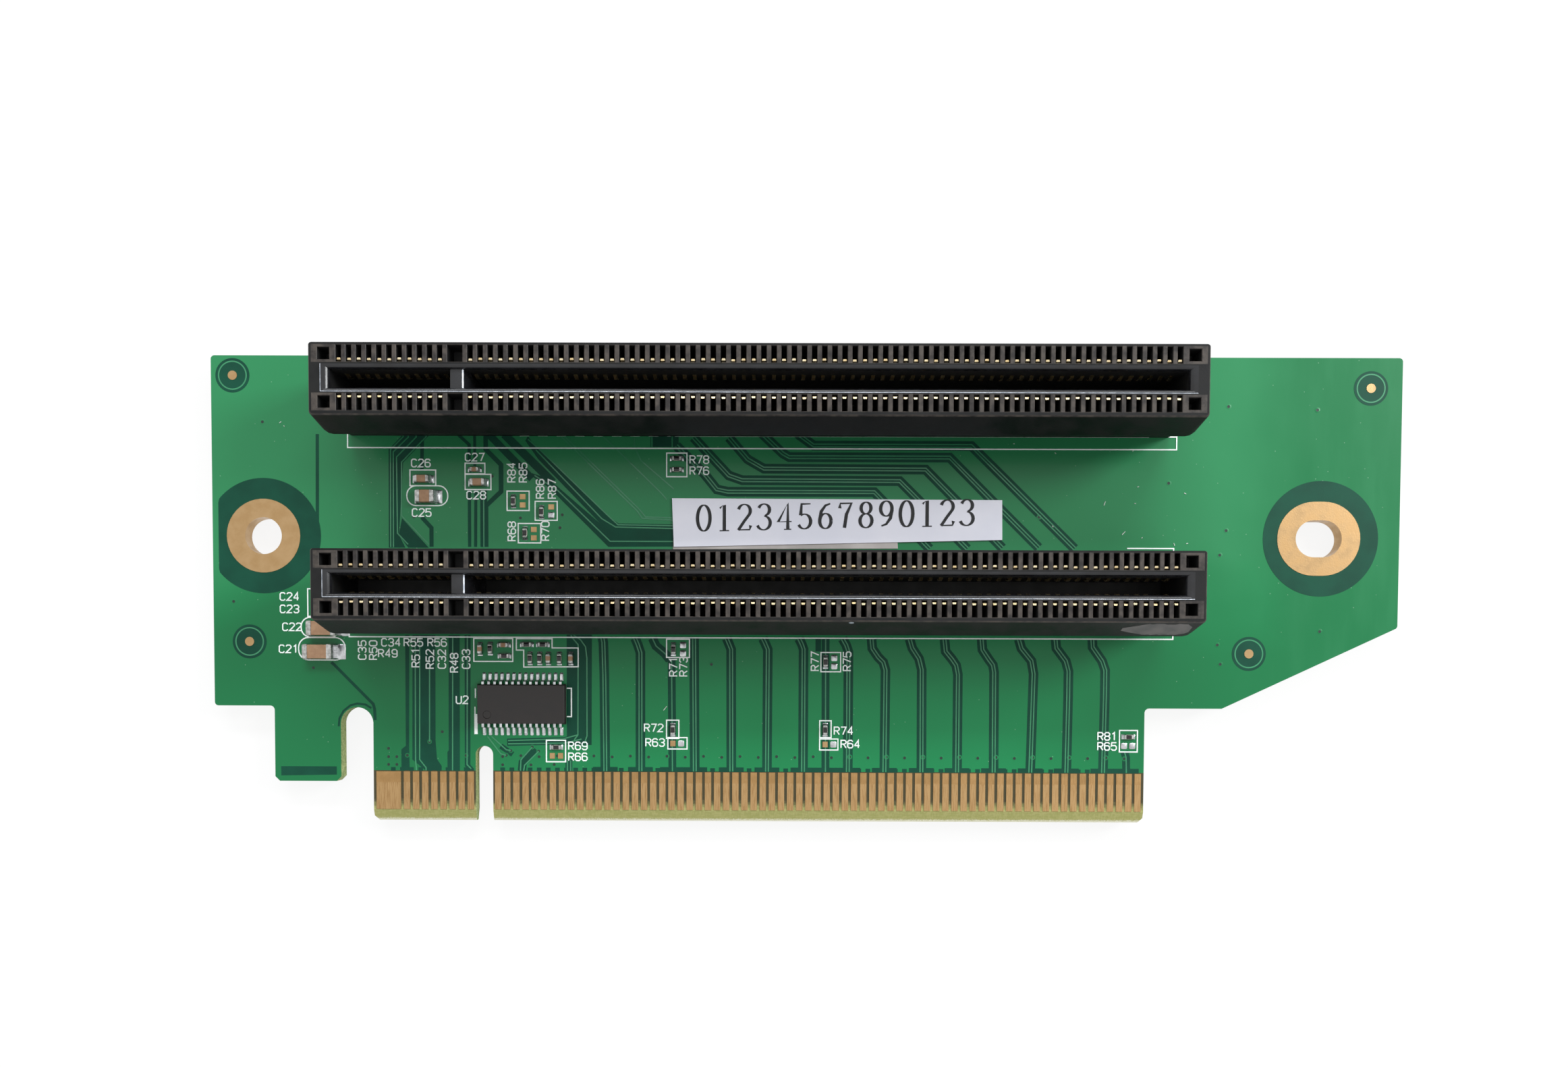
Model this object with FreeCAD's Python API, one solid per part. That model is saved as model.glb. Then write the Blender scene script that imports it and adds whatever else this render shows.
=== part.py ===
import FreeCAD, Part
import math
import os

# Riser card with two card slots.  Units are millimetres.
# The card lies flat, components up (+Z).  X runs along the slots, Y points from the
# edge contacts towards the far edge.  The origin is the middle of the outline, level
# with the tips of the solder joints on which the card rests.

Vec = FreeCAD.Vector
UP = Vec(0, 0, 1)

# ---- circuit board -------------------------------------------------------------------
BOARD_LENGTH = 129.0
BOARD_WIDTH = 50.5
BOARD_THICKNESS = 1.6
CORNER_RADIUS = 0.4
INNER_RADIUS = 0.5
FILLET_SHARE = 0.45             # most of a straight wall that one of its fillets may take
SHOULDER_HEIGHT = 12.55         # from the contact edge to the straight lower shoulders
SLOPE_RUN = 18.95               # length of the sloping lower right edge along X
SLOPE_RISE = 8.85               # and its rise along Y

# ---- edge contacts: the tongue that plugs into the host slot ---------------------------
PIN_COUNT = 82
KEY_AFTER_PIN = 11              # contacts before the key
PIN_PITCH = 1.0
KEY_GAP = 2                     # pin positions taken by the key
ARRAY_OFFSET = -5.0             # middle of the contact array from the middle of the board
FINGER_WIDTH = 0.7
FINGER_LENGTH = 4.15
FINGER_SETBACK = 1.25           # bare strip below the contacts
COPPER_THICKNESS = 0.05
WIDE_FINGER_PINS = 3            # the first contacts of the front face are one wide pad
TONGUE_MARGIN = 0.65            # board beyond the centre of the last contacts
TONGUE_CHAMFER = 0.5
BEVEL_HEIGHT = 1.2
BEVEL_ANGLE = 20.0
KEY_NOTCH_WIDTH = 1.9
KEY_NOTCH_DEPTH = 8.2
RETAINER_NOTCH_WIDTH = 3.55     # round-ended notch between the tongue and the left tab
RETAINER_NOTCH_DEPTH = 12.4
TAB_LENGTH = 7.25
TAB_LIFT = 4.3                  # lower edge of the left tab above the contact edge
TAB_CHAMFER = 0.5

# ---- fixing holes ------------------------------------------------------------------------
HOLE_DIAMETER = 4.0
HOLE_PAD_DIAMETER = 8.0
SLOTTED_HOLE_LENGTH = 5.0
HOLE_HEIGHT = 31.05             # above the contact edge
LEFT_HOLE_INSET = 5.55          # hole centre from the left end of the board
RIGHT_HOLE_INSET = 8.75
PLATING_WALL = 0.2

# ---- fiducial dots ------------------------------------------------------------------------
FIDUCIAL_DIAMETER = 1.0
FIDUCIAL_SIDES = 16
# in from the left or right end of the board, and down from its far edge
UPPER_FIDUCIAL_INSETS = [(-1, 2.35, 2.15), (1, 3.4, 3.25)]
# in from the left or right end of the board, and up from the lower shoulders
LOWER_FIDUCIAL_INSETS = [(-1, 3.9, 7.0), (1, 16.1, 6.0)]

# ---- slot connectors -----------------------------------------------------------------------
SLOT_SPACING = 20.25
LOWER_SLOT_HEIGHT = 25.1        # above the contact edge
HOUSING_LENGTH = 89.0
HOUSING_HEIGHT = 11.25
HOUSING_TOP_WIDTH = 7.2
HOUSING_HEAD_WIDTH = 9.8        # widest, at the lower rim of the flared head
HOUSING_BASE_WIDTH = 6.9
HEAD_RIM_HEIGHT = 7.9           # rim above the board
HEAD_RIM_BAND = 0.3
HEAD_UNDERCUT = 0.9             # height of the slope from the rim in to the base
HEAD_CORNER_RADIUS = 1.3
CARD_GAP = 1.85
CARD_SLOT_LENGTH = 85.1
CARD_SLOT_DEPTH = 8.0
LEAD_IN_WIDTH = 2.7
LEAD_IN_DEPTH = 0.6
LEAD_IN_END = 0.75
KEY_BAR_WIDTH = 1.3
KEY_BAR_DROP = 0.5              # top of the key bar below the top of the housing
WINDOW_WIDTH = 0.54
WINDOW_LENGTH = 1.65
WINDOW_DEPTH = 6.5
WINDOW_ROW_OFFSET = 2.375       # window centre from the slot centre
END_POCKET_SIZE = 1.2
END_POCKET_X = 43.0
END_POCKET_DEPTH = 2.5
KEY_POCKET_WIDTH = 1.5

# ---- contact springs and solder joints --------------------------------------------------------
SPRING_WIDTH = 0.4
SPRING_THICKNESS = 0.2
SPRING_CLEARANCE = 0.06         # spring to the window wall
SPRING_TIP_DROP = 0.3           # tip below the top of the housing
JOINT_HEIGHT = 1.1
JOINT_RADIUS = 0.75             # middle of a joint to the corners of its foot
JOINT_SIDES = 3
JOINT_ROW_INNER = 1.25
JOINT_ROW_OUTER = 3.25

# ---- driver chip ---------------------------------------------------------------------------------
CHIP_X = -25.75                 # from the middle of the contact array
CHIP_LENGTH = 9.7
CHIP_WIDTH = 4.4
CHIP_HEIGHT = 1.1
CHIP_STANDOFF = 0.1
CHIP_EDGE_DRAFT = 0.12
CHIP_DIMPLE_DIAMETER = 0.9
CHIP_DIMPLE_DEPTH = 0.08
CHIP_DIMPLE_INSET = 1.05
LEADS_PER_SIDE = 14
LEAD_PITCH = 0.65
LEAD_WIDTH = 0.24
LEAD_THICKNESS = 0.15
LEAD_SPAN = 6.4
LEAD_FOOT = 0.6
LEAD_SHOULDER_HEIGHT = 0.65

# ---- chip capacitors and resistors ----------------------------------------------------------------
# size name: length, width, height, length of the end terminal
CHIP_SIZES = {
    "bulk": (3.2, 1.6, 1.25, 0.55),
    "medium": (2.0, 1.4, 1.0, 0.45),
    "small": (1.6, 0.8, 0.8, 0.32),
    "tiny_capacitor": (1.0, 0.5, 0.5, 0.25),
    "tiny_resistor": (1.0, 0.5, 0.35, 0.2),
}
TERMINAL_STEP = 0.04            # terminals stand proud of the ceramic on the larger sizes
STEPPED_FROM_LENGTH = 1.8       # shorter parts have flush terminals
ALONG_X = 0.0
ALONG_Y = 90.0
ROW_BELOW_SLOT = -7.3           # row of parts, from the middle of the lower slot
ROW_ABOVE_CONTACTS = 8.1        # row of parts, from the contact edge
# node name: size name, how far its middle stands from the left end of the lower housing as a
# share of the free strip from there to the left end of the board, place along Y from the
# middle of the lower slot, direction of its length
PARTS_AT_SLOT_END = {
    "capacitor_bulk_lower": ("bulk", 0.2233, -6.65, ALONG_X),
    "capacitor_bulk_upper": ("bulk", 0.1933, -4.1, ALONG_X),
    "capacitor_end_a": ("small", 0.1867, -2.3, ALONG_X),
    "capacitor_end_b": ("small", 0.1867, -0.8, ALONG_X),
}
# node name: size name, place from the middle of the contact array along X and from the middle
# of the lower slot along Y, direction of its length
PARTS_BY_SLOT = {
    "capacitor_medium": ("medium", -36.15, 10.2, ALONG_X),
    "capacitor_small_a": ("small", -36.55, 12.1, ALONG_X),
    "capacitor_small_b": ("small", -30.5, 11.75, ALONG_X),
    "capacitor_tiny_a": ("tiny_capacitor", -30.9, 13.15, ALONG_X),
    "capacitor_tiny_b": ("tiny_capacitor", -30.4, -6.3, ALONG_Y),
    "capacitor_tiny_c": ("tiny_capacitor", -27.8, -5.85, ALONG_X),
    "capacitor_tiny_d": ("tiny_capacitor", -22.95, ROW_BELOW_SLOT, ALONG_Y),
    "capacitor_tiny_e": ("tiny_capacitor", -20.5, ROW_BELOW_SLOT, ALONG_Y),
    "resistor_a": ("tiny_resistor", -26.7, 9.75, ALONG_Y),
    "resistor_b": ("tiny_resistor", -23.65, 8.6, ALONG_Y),
    "resistor_c": ("tiny_resistor", -25.45, 6.3, ALONG_Y),
    "resistor_d": ("tiny_resistor", -8.95, 14.4, ALONG_X),
    "resistor_e": ("tiny_resistor", -8.95, 13.2, ALONG_X),
    "resistor_f": ("tiny_resistor", -29.3, -6.25, ALONG_Y),
    "resistor_g": ("tiny_resistor", -27.75, -7.05, ALONG_X),
    "resistor_h": ("tiny_resistor", -25.3, -5.8, ALONG_X),
    "resistor_i": ("tiny_resistor", -23.55, -5.8, ALONG_X),
    "resistor_j": ("tiny_resistor", -24.95, ROW_BELOW_SLOT, ALONG_Y),
    "resistor_k": ("tiny_resistor", -23.9, ROW_BELOW_SLOT, ALONG_Y),
    "resistor_l": ("tiny_resistor", -21.75, ROW_BELOW_SLOT, ALONG_Y),
    "resistor_m": ("tiny_resistor", -9.3, -6.25, ALONG_Y),
    "resistor_p": ("tiny_resistor", 7.3, -7.6, ALONG_Y),
}
# node name: size name, place from the middle of the contact array along X and from the contact
# edge along Y, direction of its length
PARTS_BY_CONTACTS = {
    "resistor_n": ("tiny_resistor", -9.35, 10.05, ALONG_Y),
    "resistor_o": ("tiny_resistor", -22.1, ROW_ABOVE_CONTACTS, ALONG_X),
    "resistor_q": ("tiny_resistor", 7.3, 10.1, ALONG_Y),
    "resistor_r": ("tiny_resistor", 40.4, 9.45, ALONG_X),
}

# ---- unfitted resistor positions: two bare pads each --------------------------------------------------
PAD_LENGTH = 0.62
PAD_WIDTH = 0.56
PAD_SPACING = 0.9
# place as for the fitted parts, direction of the pair
EMPTY_BY_SLOT = [
    (-25.7, 9.8, ALONG_Y),
    (-22.6, 8.7, ALONG_Y),
    (-24.5, 6.25, ALONG_Y),
    (-8.25, -6.25, ALONG_Y),
    (8.25, -7.6, ALONG_Y),
]
EMPTY_BY_CONTACTS = [
    (-8.9, 8.55, ALONG_X),
    (-22.1, 7.15, ALONG_X),
    (7.75, 8.5, ALONG_X),
    (40.4, 8.45, ALONG_X),
]

# ---- paper label ---------------------------------------------------------------------------------------
# corners from the middle of the contact array and of the lower slot
LABEL_CORNERS = [(-9.45, 10.1), (26.35, 10.0), (26.4, 5.7), (-9.25, 4.85)]
LABEL_THICKNESS = 0.1
UNDER_LABEL_CORNERS = [(-9.3, 5.75), (15.0, 6.05), (15.1, 4.75), (-9.35, 4.6)]

# ---- levels and places that follow from the sizes above ----------------------------------------
BOARD_BOTTOM = JOINT_HEIGHT
BOARD_TOP = BOARD_BOTTOM + BOARD_THICKNESS
EDGE_Y = -BOARD_WIDTH / 2
HOUSING_TOP = BOARD_TOP + HOUSING_HEIGHT
CUT_MARGIN = JOINT_HEIGHT       # how far cutters reach past the material
LOWER_SLOT_Y = EDGE_Y + LOWER_SLOT_HEIGHT
UPPER_SLOT_Y = LOWER_SLOT_Y + SLOT_SPACING
HOLE_Y = EDGE_Y + HOLE_HEIGHT
LEFT_HOLE_X = LEFT_HOLE_INSET - BOARD_LENGTH / 2
RIGHT_HOLE_X = BOARD_LENGTH / 2 - RIGHT_HOLE_INSET
SHOULDER_Y = EDGE_Y + SHOULDER_HEIGHT
LEFT_SLOT_END = ARRAY_OFFSET - HOUSING_LENGTH / 2
LEFT_STRIP = LEFT_SLOT_END + BOARD_LENGTH / 2
# the chip stands midway between the two rows of parts
SLOT_ROW_EDGE = LOWER_SLOT_Y + ROW_BELOW_SLOT - CHIP_SIZES["tiny_resistor"][0] / 2
CONTACT_ROW_EDGE = EDGE_Y + ROW_ABOVE_CONTACTS + CHIP_SIZES["tiny_resistor"][1] / 2
CHIP_PLACE = (ARRAY_OFFSET + CHIP_X, (SLOT_ROW_EDGE + CONTACT_ROW_EDGE) / 2)
ARRAY_SPAN = (PIN_COUNT - 1 + KEY_GAP) * PIN_PITCH
KEY_X = (KEY_AFTER_PIN + (KEY_GAP + 1) / 2 - 1) * PIN_PITCH - ARRAY_SPAN / 2


def pin_x(pin):
    """Place of a contact along X, from the middle of the contact array."""
    skipped = KEY_GAP if pin > KEY_AFTER_PIN else 0
    return (pin - 1 + skipped) * PIN_PITCH - ARRAY_SPAN / 2


def save(name, solids):
    """Write one node: a single solid, or a compound of separate solids."""
    shape = solids[0] if len(solids) == 1 else Part.makeCompound(solids)
    shape.exportStep("parts/" + name + ".step")


def box(x_low, x_high, y_low, y_high, z_low, z_high):
    """Axis-aligned block between two corners."""
    return Part.makeBox(x_high - x_low, y_high - y_low, z_high - z_low, Vec(x_low, y_low, z_low))


def centred_box(x, y, length, width, z_low, z_high):
    """Axis-aligned block about a centre in plan."""
    return box(x - length / 2, x + length / 2, y - width / 2, y + width / 2, z_low, z_high)


def prism(corners, z_low, z_high):
    """Straight-sided plate over a polygon in plan."""
    loop = [Vec(x, y, z_low) for x, y in corners]
    face = Part.Face(Part.makePolygon(loop + loop[:1]))
    return face.extrude(Vec(0, 0, z_high - z_low))


def profile_along_x(section, x_low, x_high):
    """Solid of a section in the YZ plane, carried along X."""
    loop = [Vec(x_low, y, z) for y, z in section]
    face = Part.Face(Part.makePolygon(loop + loop[:1]))
    return face.extrude(Vec(x_high - x_low, 0, 0))


def corners_round(x, y, radius, sides):
    """Corners in plan of a regular polygon about a centre."""
    turn = 2 * math.pi / sides
    return [(x + radius * math.cos(i * turn), y + radius * math.sin(i * turn)) for i in range(sides)]


def capsule(x, y, length, width, z_low, z_high):
    """Upright solid with round ends, long along X; a cylinder where length equals width."""
    radius = width / 2
    reach = (length - width) / 2
    ends = [Part.makeCylinder(radius, z_high - z_low, Vec(x + side * reach, y, z_low)) for side in (-1, 1)]
    if reach <= 0:
        return ends[0]
    return ends[0].fuse(ends[1]).fuse(centred_box(x, y, 2 * reach, width, z_low, z_high)).removeSplitter()


def turned(shape, x, y, angle):
    """Copy of a shape built about the origin, turned about Z and moved to its place."""
    placed = shape.copy()
    placed.rotate(Vec(0, 0, 0), UP, angle)
    placed.translate(Vec(x, y, 0))
    return placed


# ---- circuit board -------------------------------------------------------------------

def board_edges_at(points, solid):
    """Upright edges of a plate that stand at the given corners."""
    found = []
    for edge in solid.Edges:
        ends = [vertex.Point for vertex in edge.Vertexes]
        if len(ends) == 2 and math.isclose(ends[0].x, ends[1].x) and math.isclose(ends[0].y, ends[1].y):
            if any(math.hypot(ends[0].x - x, ends[0].y - y) < CORNER_RADIUS / 4 for x, y in points):
                found.append(edge)
    return found


def notch(x, width, depth):
    """Cutter for a round-ended notch that opens at the contact edge."""
    radius = width / 2
    slot = box(x - radius, x + radius, EDGE_Y - CUT_MARGIN, EDGE_Y + depth - radius, BOARD_BOTTOM, BOARD_TOP)
    end = Part.makeCylinder(radius, BOARD_THICKNESS, Vec(x, EDGE_Y + depth - radius, BOARD_BOTTOM))
    return slot.fuse(end)


def bevel_cutter(face_z, inward):
    """Wedge that bevels the contact edge along one face of the board."""
    depth = BEVEL_HEIGHT * math.tan(math.radians(BEVEL_ANGLE))
    section = [
        (EDGE_Y - CUT_MARGIN, face_z),
        (EDGE_Y + BEVEL_HEIGHT, face_z),
        (EDGE_Y, face_z + inward * depth),
        (EDGE_Y - CUT_MARGIN, face_z + inward * depth),
    ]
    reach = ARRAY_SPAN / 2 + TONGUE_MARGIN + CUT_MARGIN
    return profile_along_x(section, ARRAY_OFFSET - reach, ARRAY_OFFSET + reach)


def make_board():
    """Board outline with its tongue, tab, notches, bevel and holes."""
    half = BOARD_LENGTH / 2
    top = BOARD_WIDTH / 2
    tongue_left = ARRAY_OFFSET - ARRAY_SPAN / 2 - TONGUE_MARGIN
    tongue_right = ARRAY_OFFSET + ARRAY_SPAN / 2 + TONGUE_MARGIN
    tab_right = tongue_left - RETAINER_NOTCH_WIDTH
    tab_left = tab_right - TAB_LENGTH
    tab_edge = EDGE_Y + TAB_LIFT
    outline = [
        (-half, top),
        (-half, SHOULDER_Y),
        (tab_left, SHOULDER_Y),
        (tab_left, tab_edge + TAB_CHAMFER),
        (tab_left + TAB_CHAMFER, tab_edge),
        (tab_right - TAB_CHAMFER, tab_edge),
        (tab_right, tab_edge + TAB_CHAMFER),
        (tab_right, SHOULDER_Y - RETAINER_NOTCH_WIDTH / 2),
        (tongue_left, SHOULDER_Y - RETAINER_NOTCH_WIDTH / 2),
        (tongue_left, EDGE_Y + TONGUE_CHAMFER),
        (tongue_left + TONGUE_CHAMFER, EDGE_Y),
        (tongue_right - TONGUE_CHAMFER, EDGE_Y),
        (tongue_right, EDGE_Y + TONGUE_CHAMFER),
        (tongue_right, SHOULDER_Y),
        (half - SLOPE_RUN, SHOULDER_Y),
        (half, SHOULDER_Y + SLOPE_RISE),
        (half, top),
    ]
    plate = prism(outline, BOARD_BOTTOM, BOARD_TOP)
    outer = [(-half, top), (-half, SHOULDER_Y), (half, SHOULDER_Y + SLOPE_RISE), (half, top)]
    narrowest = min(tab_left + half, half - SLOPE_RUN - tongue_right)
    plate = plate.makeFillet(min(CORNER_RADIUS, narrowest * FILLET_SHARE), board_edges_at(outer, plate))
    inner = [(tab_left, SHOULDER_Y), (tongue_right, SHOULDER_Y)]
    plate = plate.makeFillet(min(INNER_RADIUS, narrowest * FILLET_SHARE), board_edges_at(inner, plate))
    bore = HOLE_DIAMETER + 2 * PLATING_WALL
    slotted = SLOTTED_HOLE_LENGTH + 2 * PLATING_WALL
    cutters = [
        notch((tab_right + tongue_left) / 2, RETAINER_NOTCH_WIDTH, RETAINER_NOTCH_DEPTH),
        notch(ARRAY_OFFSET + KEY_X, KEY_NOTCH_WIDTH, KEY_NOTCH_DEPTH),
        bevel_cutter(BOARD_TOP, -1),
        bevel_cutter(BOARD_BOTTOM, 1),
        capsule(LEFT_HOLE_X, HOLE_Y, bore, bore, BOARD_BOTTOM, BOARD_TOP),
        capsule(RIGHT_HOLE_X, HOLE_Y, slotted, bore, BOARD_BOTTOM, BOARD_TOP),
    ]
    return plate.cut(Part.makeCompound(cutters))


def make_hole_plating(x, hole_length):
    """Plated hole: a pad on each face joined by the lining of the hole."""
    stretch = hole_length - HOLE_DIAMETER
    bore = HOLE_DIAMETER + 2 * PLATING_WALL
    low = BOARD_BOTTOM - COPPER_THICKNESS
    high = BOARD_TOP + COPPER_THICKNESS
    pad_length = HOLE_PAD_DIAMETER + stretch
    lower_pad = capsule(x, HOLE_Y, pad_length, HOLE_PAD_DIAMETER, low, BOARD_BOTTOM)
    upper_pad = capsule(x, HOLE_Y, pad_length, HOLE_PAD_DIAMETER, BOARD_TOP, high)
    lining = capsule(x, HOLE_Y, bore + stretch, bore, low, high)
    hole = capsule(x, HOLE_Y, hole_length, HOLE_DIAMETER, low, high)
    return lower_pad.fuse(upper_pad).fuse(lining).cut(hole).removeSplitter()


def make_fiducials():
    """Bare copper dots near the corners of the board, drawn with many sides."""
    places = []
    for side, inset, drop in UPPER_FIDUCIAL_INSETS:
        places.append((side * (BOARD_LENGTH / 2 - inset), BOARD_WIDTH / 2 - drop))
    for side, inset, rise in LOWER_FIDUCIAL_INSETS:
        places.append((side * (BOARD_LENGTH / 2 - inset), SHOULDER_Y + rise))
    radius = FIDUCIAL_DIAMETER / 2
    high = BOARD_TOP + COPPER_THICKNESS
    return [prism(corners_round(x, y, radius, FIDUCIAL_SIDES), BOARD_TOP, high) for x, y in places]


def finger(first_pin, last_pin, z_low):
    """Edge contact that covers the given pins."""
    x_low = ARRAY_OFFSET + pin_x(first_pin) - FINGER_WIDTH / 2
    x_high = ARRAY_OFFSET + pin_x(last_pin) + FINGER_WIDTH / 2
    y_low = EDGE_Y + FINGER_SETBACK
    return box(x_low, x_high, y_low, y_low + FINGER_LENGTH, z_low, z_low + COPPER_THICKNESS)


def make_front_fingers():
    """Contacts of the component side: one wide pad, then single contacts."""
    fingers = [finger(1, WIDE_FINGER_PINS, BOARD_TOP)]
    for pin in range(WIDE_FINGER_PINS + 1, PIN_COUNT + 1):
        fingers.append(finger(pin, pin, BOARD_TOP))
    return fingers


def make_back_fingers():
    """Contacts of the solder side."""
    return [finger(pin, pin, BOARD_BOTTOM - COPPER_THICKNESS) for pin in range(1, PIN_COUNT + 1)]


# ---- slot connector, built about its own middle and then moved to its place ----------------

def housing_blank():
    """Flared head on a narrower base, round at the corners of the rim."""
    half_top = HOUSING_TOP_WIDTH / 2
    half_head = HOUSING_HEAD_WIDTH / 2
    half_base = HOUSING_BASE_WIDTH / 2
    rim = BOARD_TOP + HEAD_RIM_HEIGHT
    right = [
        (half_base, BOARD_TOP),
        (half_base, rim - HEAD_UNDERCUT),
        (half_head, rim),
        (half_head, rim + HEAD_RIM_BAND),
        (half_top, HOUSING_TOP),
    ]
    section = right + [(-y, z) for y, z in reversed(right)]
    half_length = HOUSING_LENGTH / 2
    bar = profile_along_x(section, -half_length, half_length)
    plan = centred_box(0, 0, HOUSING_LENGTH, HOUSING_HEAD_WIDTH, BOARD_TOP, HOUSING_TOP)
    upright = [edge for edge in plan.Edges if math.isclose(edge.Length, HOUSING_HEIGHT)]
    return bar.common(plan.makeFillet(HEAD_CORNER_RADIUS, upright))


def card_slot_cutter():
    """Card slot with its sloped lead-in, left open where the key bar stands."""
    floor = HOUSING_TOP - CARD_SLOT_DEPTH
    channel = centred_box(0, 0, CARD_SLOT_LENGTH, CARD_GAP, floor, HOUSING_TOP)
    mouth_low = HOUSING_TOP - LEAD_IN_DEPTH
    wires = []
    for grow, z in ((0.0, mouth_low), (1.0, HOUSING_TOP)):
        length = CARD_SLOT_LENGTH + 2 * LEAD_IN_END * grow
        width = CARD_GAP + (LEAD_IN_WIDTH - CARD_GAP) * grow
        corners = [(-1, -1), (1, -1), (1, 1), (-1, 1), (-1, -1)]
        wires.append(Part.makePolygon([Vec(i * length / 2, j * width / 2, z) for i, j in corners]))
    mouth = Part.makeLoft(wires, True, True)
    bar_top = HOUSING_TOP - KEY_BAR_DROP
    bar = centred_box(KEY_X, 0, KEY_BAR_WIDTH, LEAD_IN_WIDTH + CUT_MARGIN, floor, bar_top)
    return channel.fuse(mouth).cut(bar)


def window_cutters():
    """Contact windows, and the square pockets at the row ends and at the key."""
    cutters = []
    for side in (-1, 1):
        row = side * WINDOW_ROW_OFFSET
        for pin in range(1, PIN_COUNT + 1):
            floor = HOUSING_TOP - WINDOW_DEPTH
            cutters.append(centred_box(pin_x(pin), row, WINDOW_WIDTH, WINDOW_LENGTH, floor, HOUSING_TOP))
        floor = HOUSING_TOP - END_POCKET_DEPTH
        for x in (-END_POCKET_X, END_POCKET_X):
            cutters.append(centred_box(x, row, END_POCKET_SIZE, END_POCKET_SIZE, floor, HOUSING_TOP))
        cutters.append(centred_box(KEY_X, row, KEY_POCKET_WIDTH, WINDOW_LENGTH, floor, HOUSING_TOP))
    return cutters


def make_housing():
    """Moulded slot housing."""
    return housing_blank().cut(Part.makeCompound([card_slot_cutter()] + window_cutters()))


def make_springs(side):
    """One row of contact springs, each leaning from its window floor in to its wide tip."""
    outer = side * (WINDOW_ROW_OFFSET + WINDOW_LENGTH / 2 - SPRING_CLEARANCE)
    inner = side * (WINDOW_ROW_OFFSET - WINDOW_LENGTH / 2 + SPRING_CLEARANCE)
    foot = HOUSING_TOP - WINDOW_DEPTH
    tip = HOUSING_TOP - SPRING_TIP_DROP
    section = [(outer, foot), (inner, tip), (inner + side * SPRING_THICKNESS, tip)]
    half = SPRING_WIDTH / 2
    pins = range(1, PIN_COUNT + 1)
    return [profile_along_x(section, pin_x(pin) - half, pin_x(pin) + half) for pin in pins]


def solder_joint(x, y):
    """Solder peak under the board, drawn as a pyramid with its point down."""
    base = [Vec(i, j, BOARD_BOTTOM) for i, j in corners_round(x, y, JOINT_RADIUS, JOINT_SIDES)]
    tip = Vec(x, y, BOARD_BOTTOM - JOINT_HEIGHT)
    faces = [Part.Face(Part.makePolygon(base + base[:1]))]
    for start, end in zip(base, base[1:] + base[:1]):
        faces.append(Part.Face(Part.makePolygon([start, end, tip, start])))
    return Part.makeSolid(Part.makeShell(faces))


def make_joints():
    """Staggered rows of joints: neighbouring pins use the inner and the outer row in turn."""
    joints = []
    for pin in range(1, PIN_COUNT + 1):
        row = JOINT_ROW_INNER if pin % 2 else JOINT_ROW_OUTER
        for side in (-1, 1):
            joints.append(solder_joint(pin_x(pin), side * row))
    return joints


def save_connector(name, slot_y):
    """Write the housing, the two spring rows and the joints of one slot connector."""
    shift = Vec(ARRAY_OFFSET, slot_y, 0)
    groups = {
        "_housing": [HOUSING],
        "_springs_front": make_springs(-1),
        "_springs_back": make_springs(1),
        "_solder_joints": make_joints(),
    }
    for suffix, solids in groups.items():
        save(name + suffix, [solid.translated(shift) for solid in solids])


# ---- driver chip ----------------------------------------------------------------------------

def make_chip_body():
    """Moulded body with drafted sides and the round pin-one mark."""
    low = CHIP_STANDOFF
    middle = (CHIP_STANDOFF + CHIP_HEIGHT) / 2
    halves = []
    for z_edge, z_middle in ((low, middle), (CHIP_HEIGHT, middle)):
        wires = []
        for inset, z in ((CHIP_EDGE_DRAFT, z_edge), (0.0, z_middle)):
            length = CHIP_LENGTH / 2 - inset
            width = CHIP_WIDTH / 2 - inset
            corners = [(-1, -1), (1, -1), (1, 1), (-1, 1), (-1, -1)]
            wires.append(Part.makePolygon([Vec(i * length, j * width, z) for i, j in corners]))
        halves.append(Part.makeLoft(wires, True, True))
    body = halves[0].fuse(halves[1]).removeSplitter()
    dimple_at = Vec(
        CHIP_DIMPLE_INSET - CHIP_LENGTH / 2,
        CHIP_DIMPLE_INSET - CHIP_WIDTH / 2,
        CHIP_HEIGHT - CHIP_DIMPLE_DEPTH,
    )
    return body.cut(Part.makeCylinder(CHIP_DIMPLE_DIAMETER / 2, CHIP_DIMPLE_DEPTH, dimple_at))


def make_chip_leads():
    """Gull-wing leads along both long sides."""
    root = CHIP_WIDTH / 2
    tip = LEAD_SPAN / 2
    heel = tip - LEAD_FOOT
    section = [
        (root, LEAD_SHOULDER_HEIGHT),
        (root, LEAD_SHOULDER_HEIGHT - LEAD_THICKNESS),
        (heel, 0.0),
        (tip, 0.0),
        (tip, LEAD_THICKNESS),
        (heel + LEAD_THICKNESS, LEAD_THICKNESS),
    ]
    leads = []
    for side in (-1, 1):
        for index in range(LEADS_PER_SIDE):
            x = (index - (LEADS_PER_SIDE - 1) / 2) * LEAD_PITCH
            mirrored = [(side * y, z) for y, z in section]
            leads.append(profile_along_x(mirrored, x - LEAD_WIDTH / 2, x + LEAD_WIDTH / 2))
    return leads


# ---- small surface-mount parts ------------------------------------------------------------------

def chip_part(size_name):
    """Ceramic block with an end terminal at each end, long along X, standing on Z = 0."""
    length, width, height, terminal = CHIP_SIZES[size_name]
    block = centred_box(0, 0, length, width, 0, height)
    if length < STEPPED_FROM_LENGTH:
        return block
    ceramic = centred_box(
        0, 0, length - 2 * terminal, width - 2 * TERMINAL_STEP, TERMINAL_STEP, height - TERMINAL_STEP
    )
    for side in (-1, 1):
        cap_x = side * (length - terminal) / 2
        ceramic = ceramic.fuse(centred_box(cap_x, 0, terminal, width, 0, height))
    return ceramic


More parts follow.
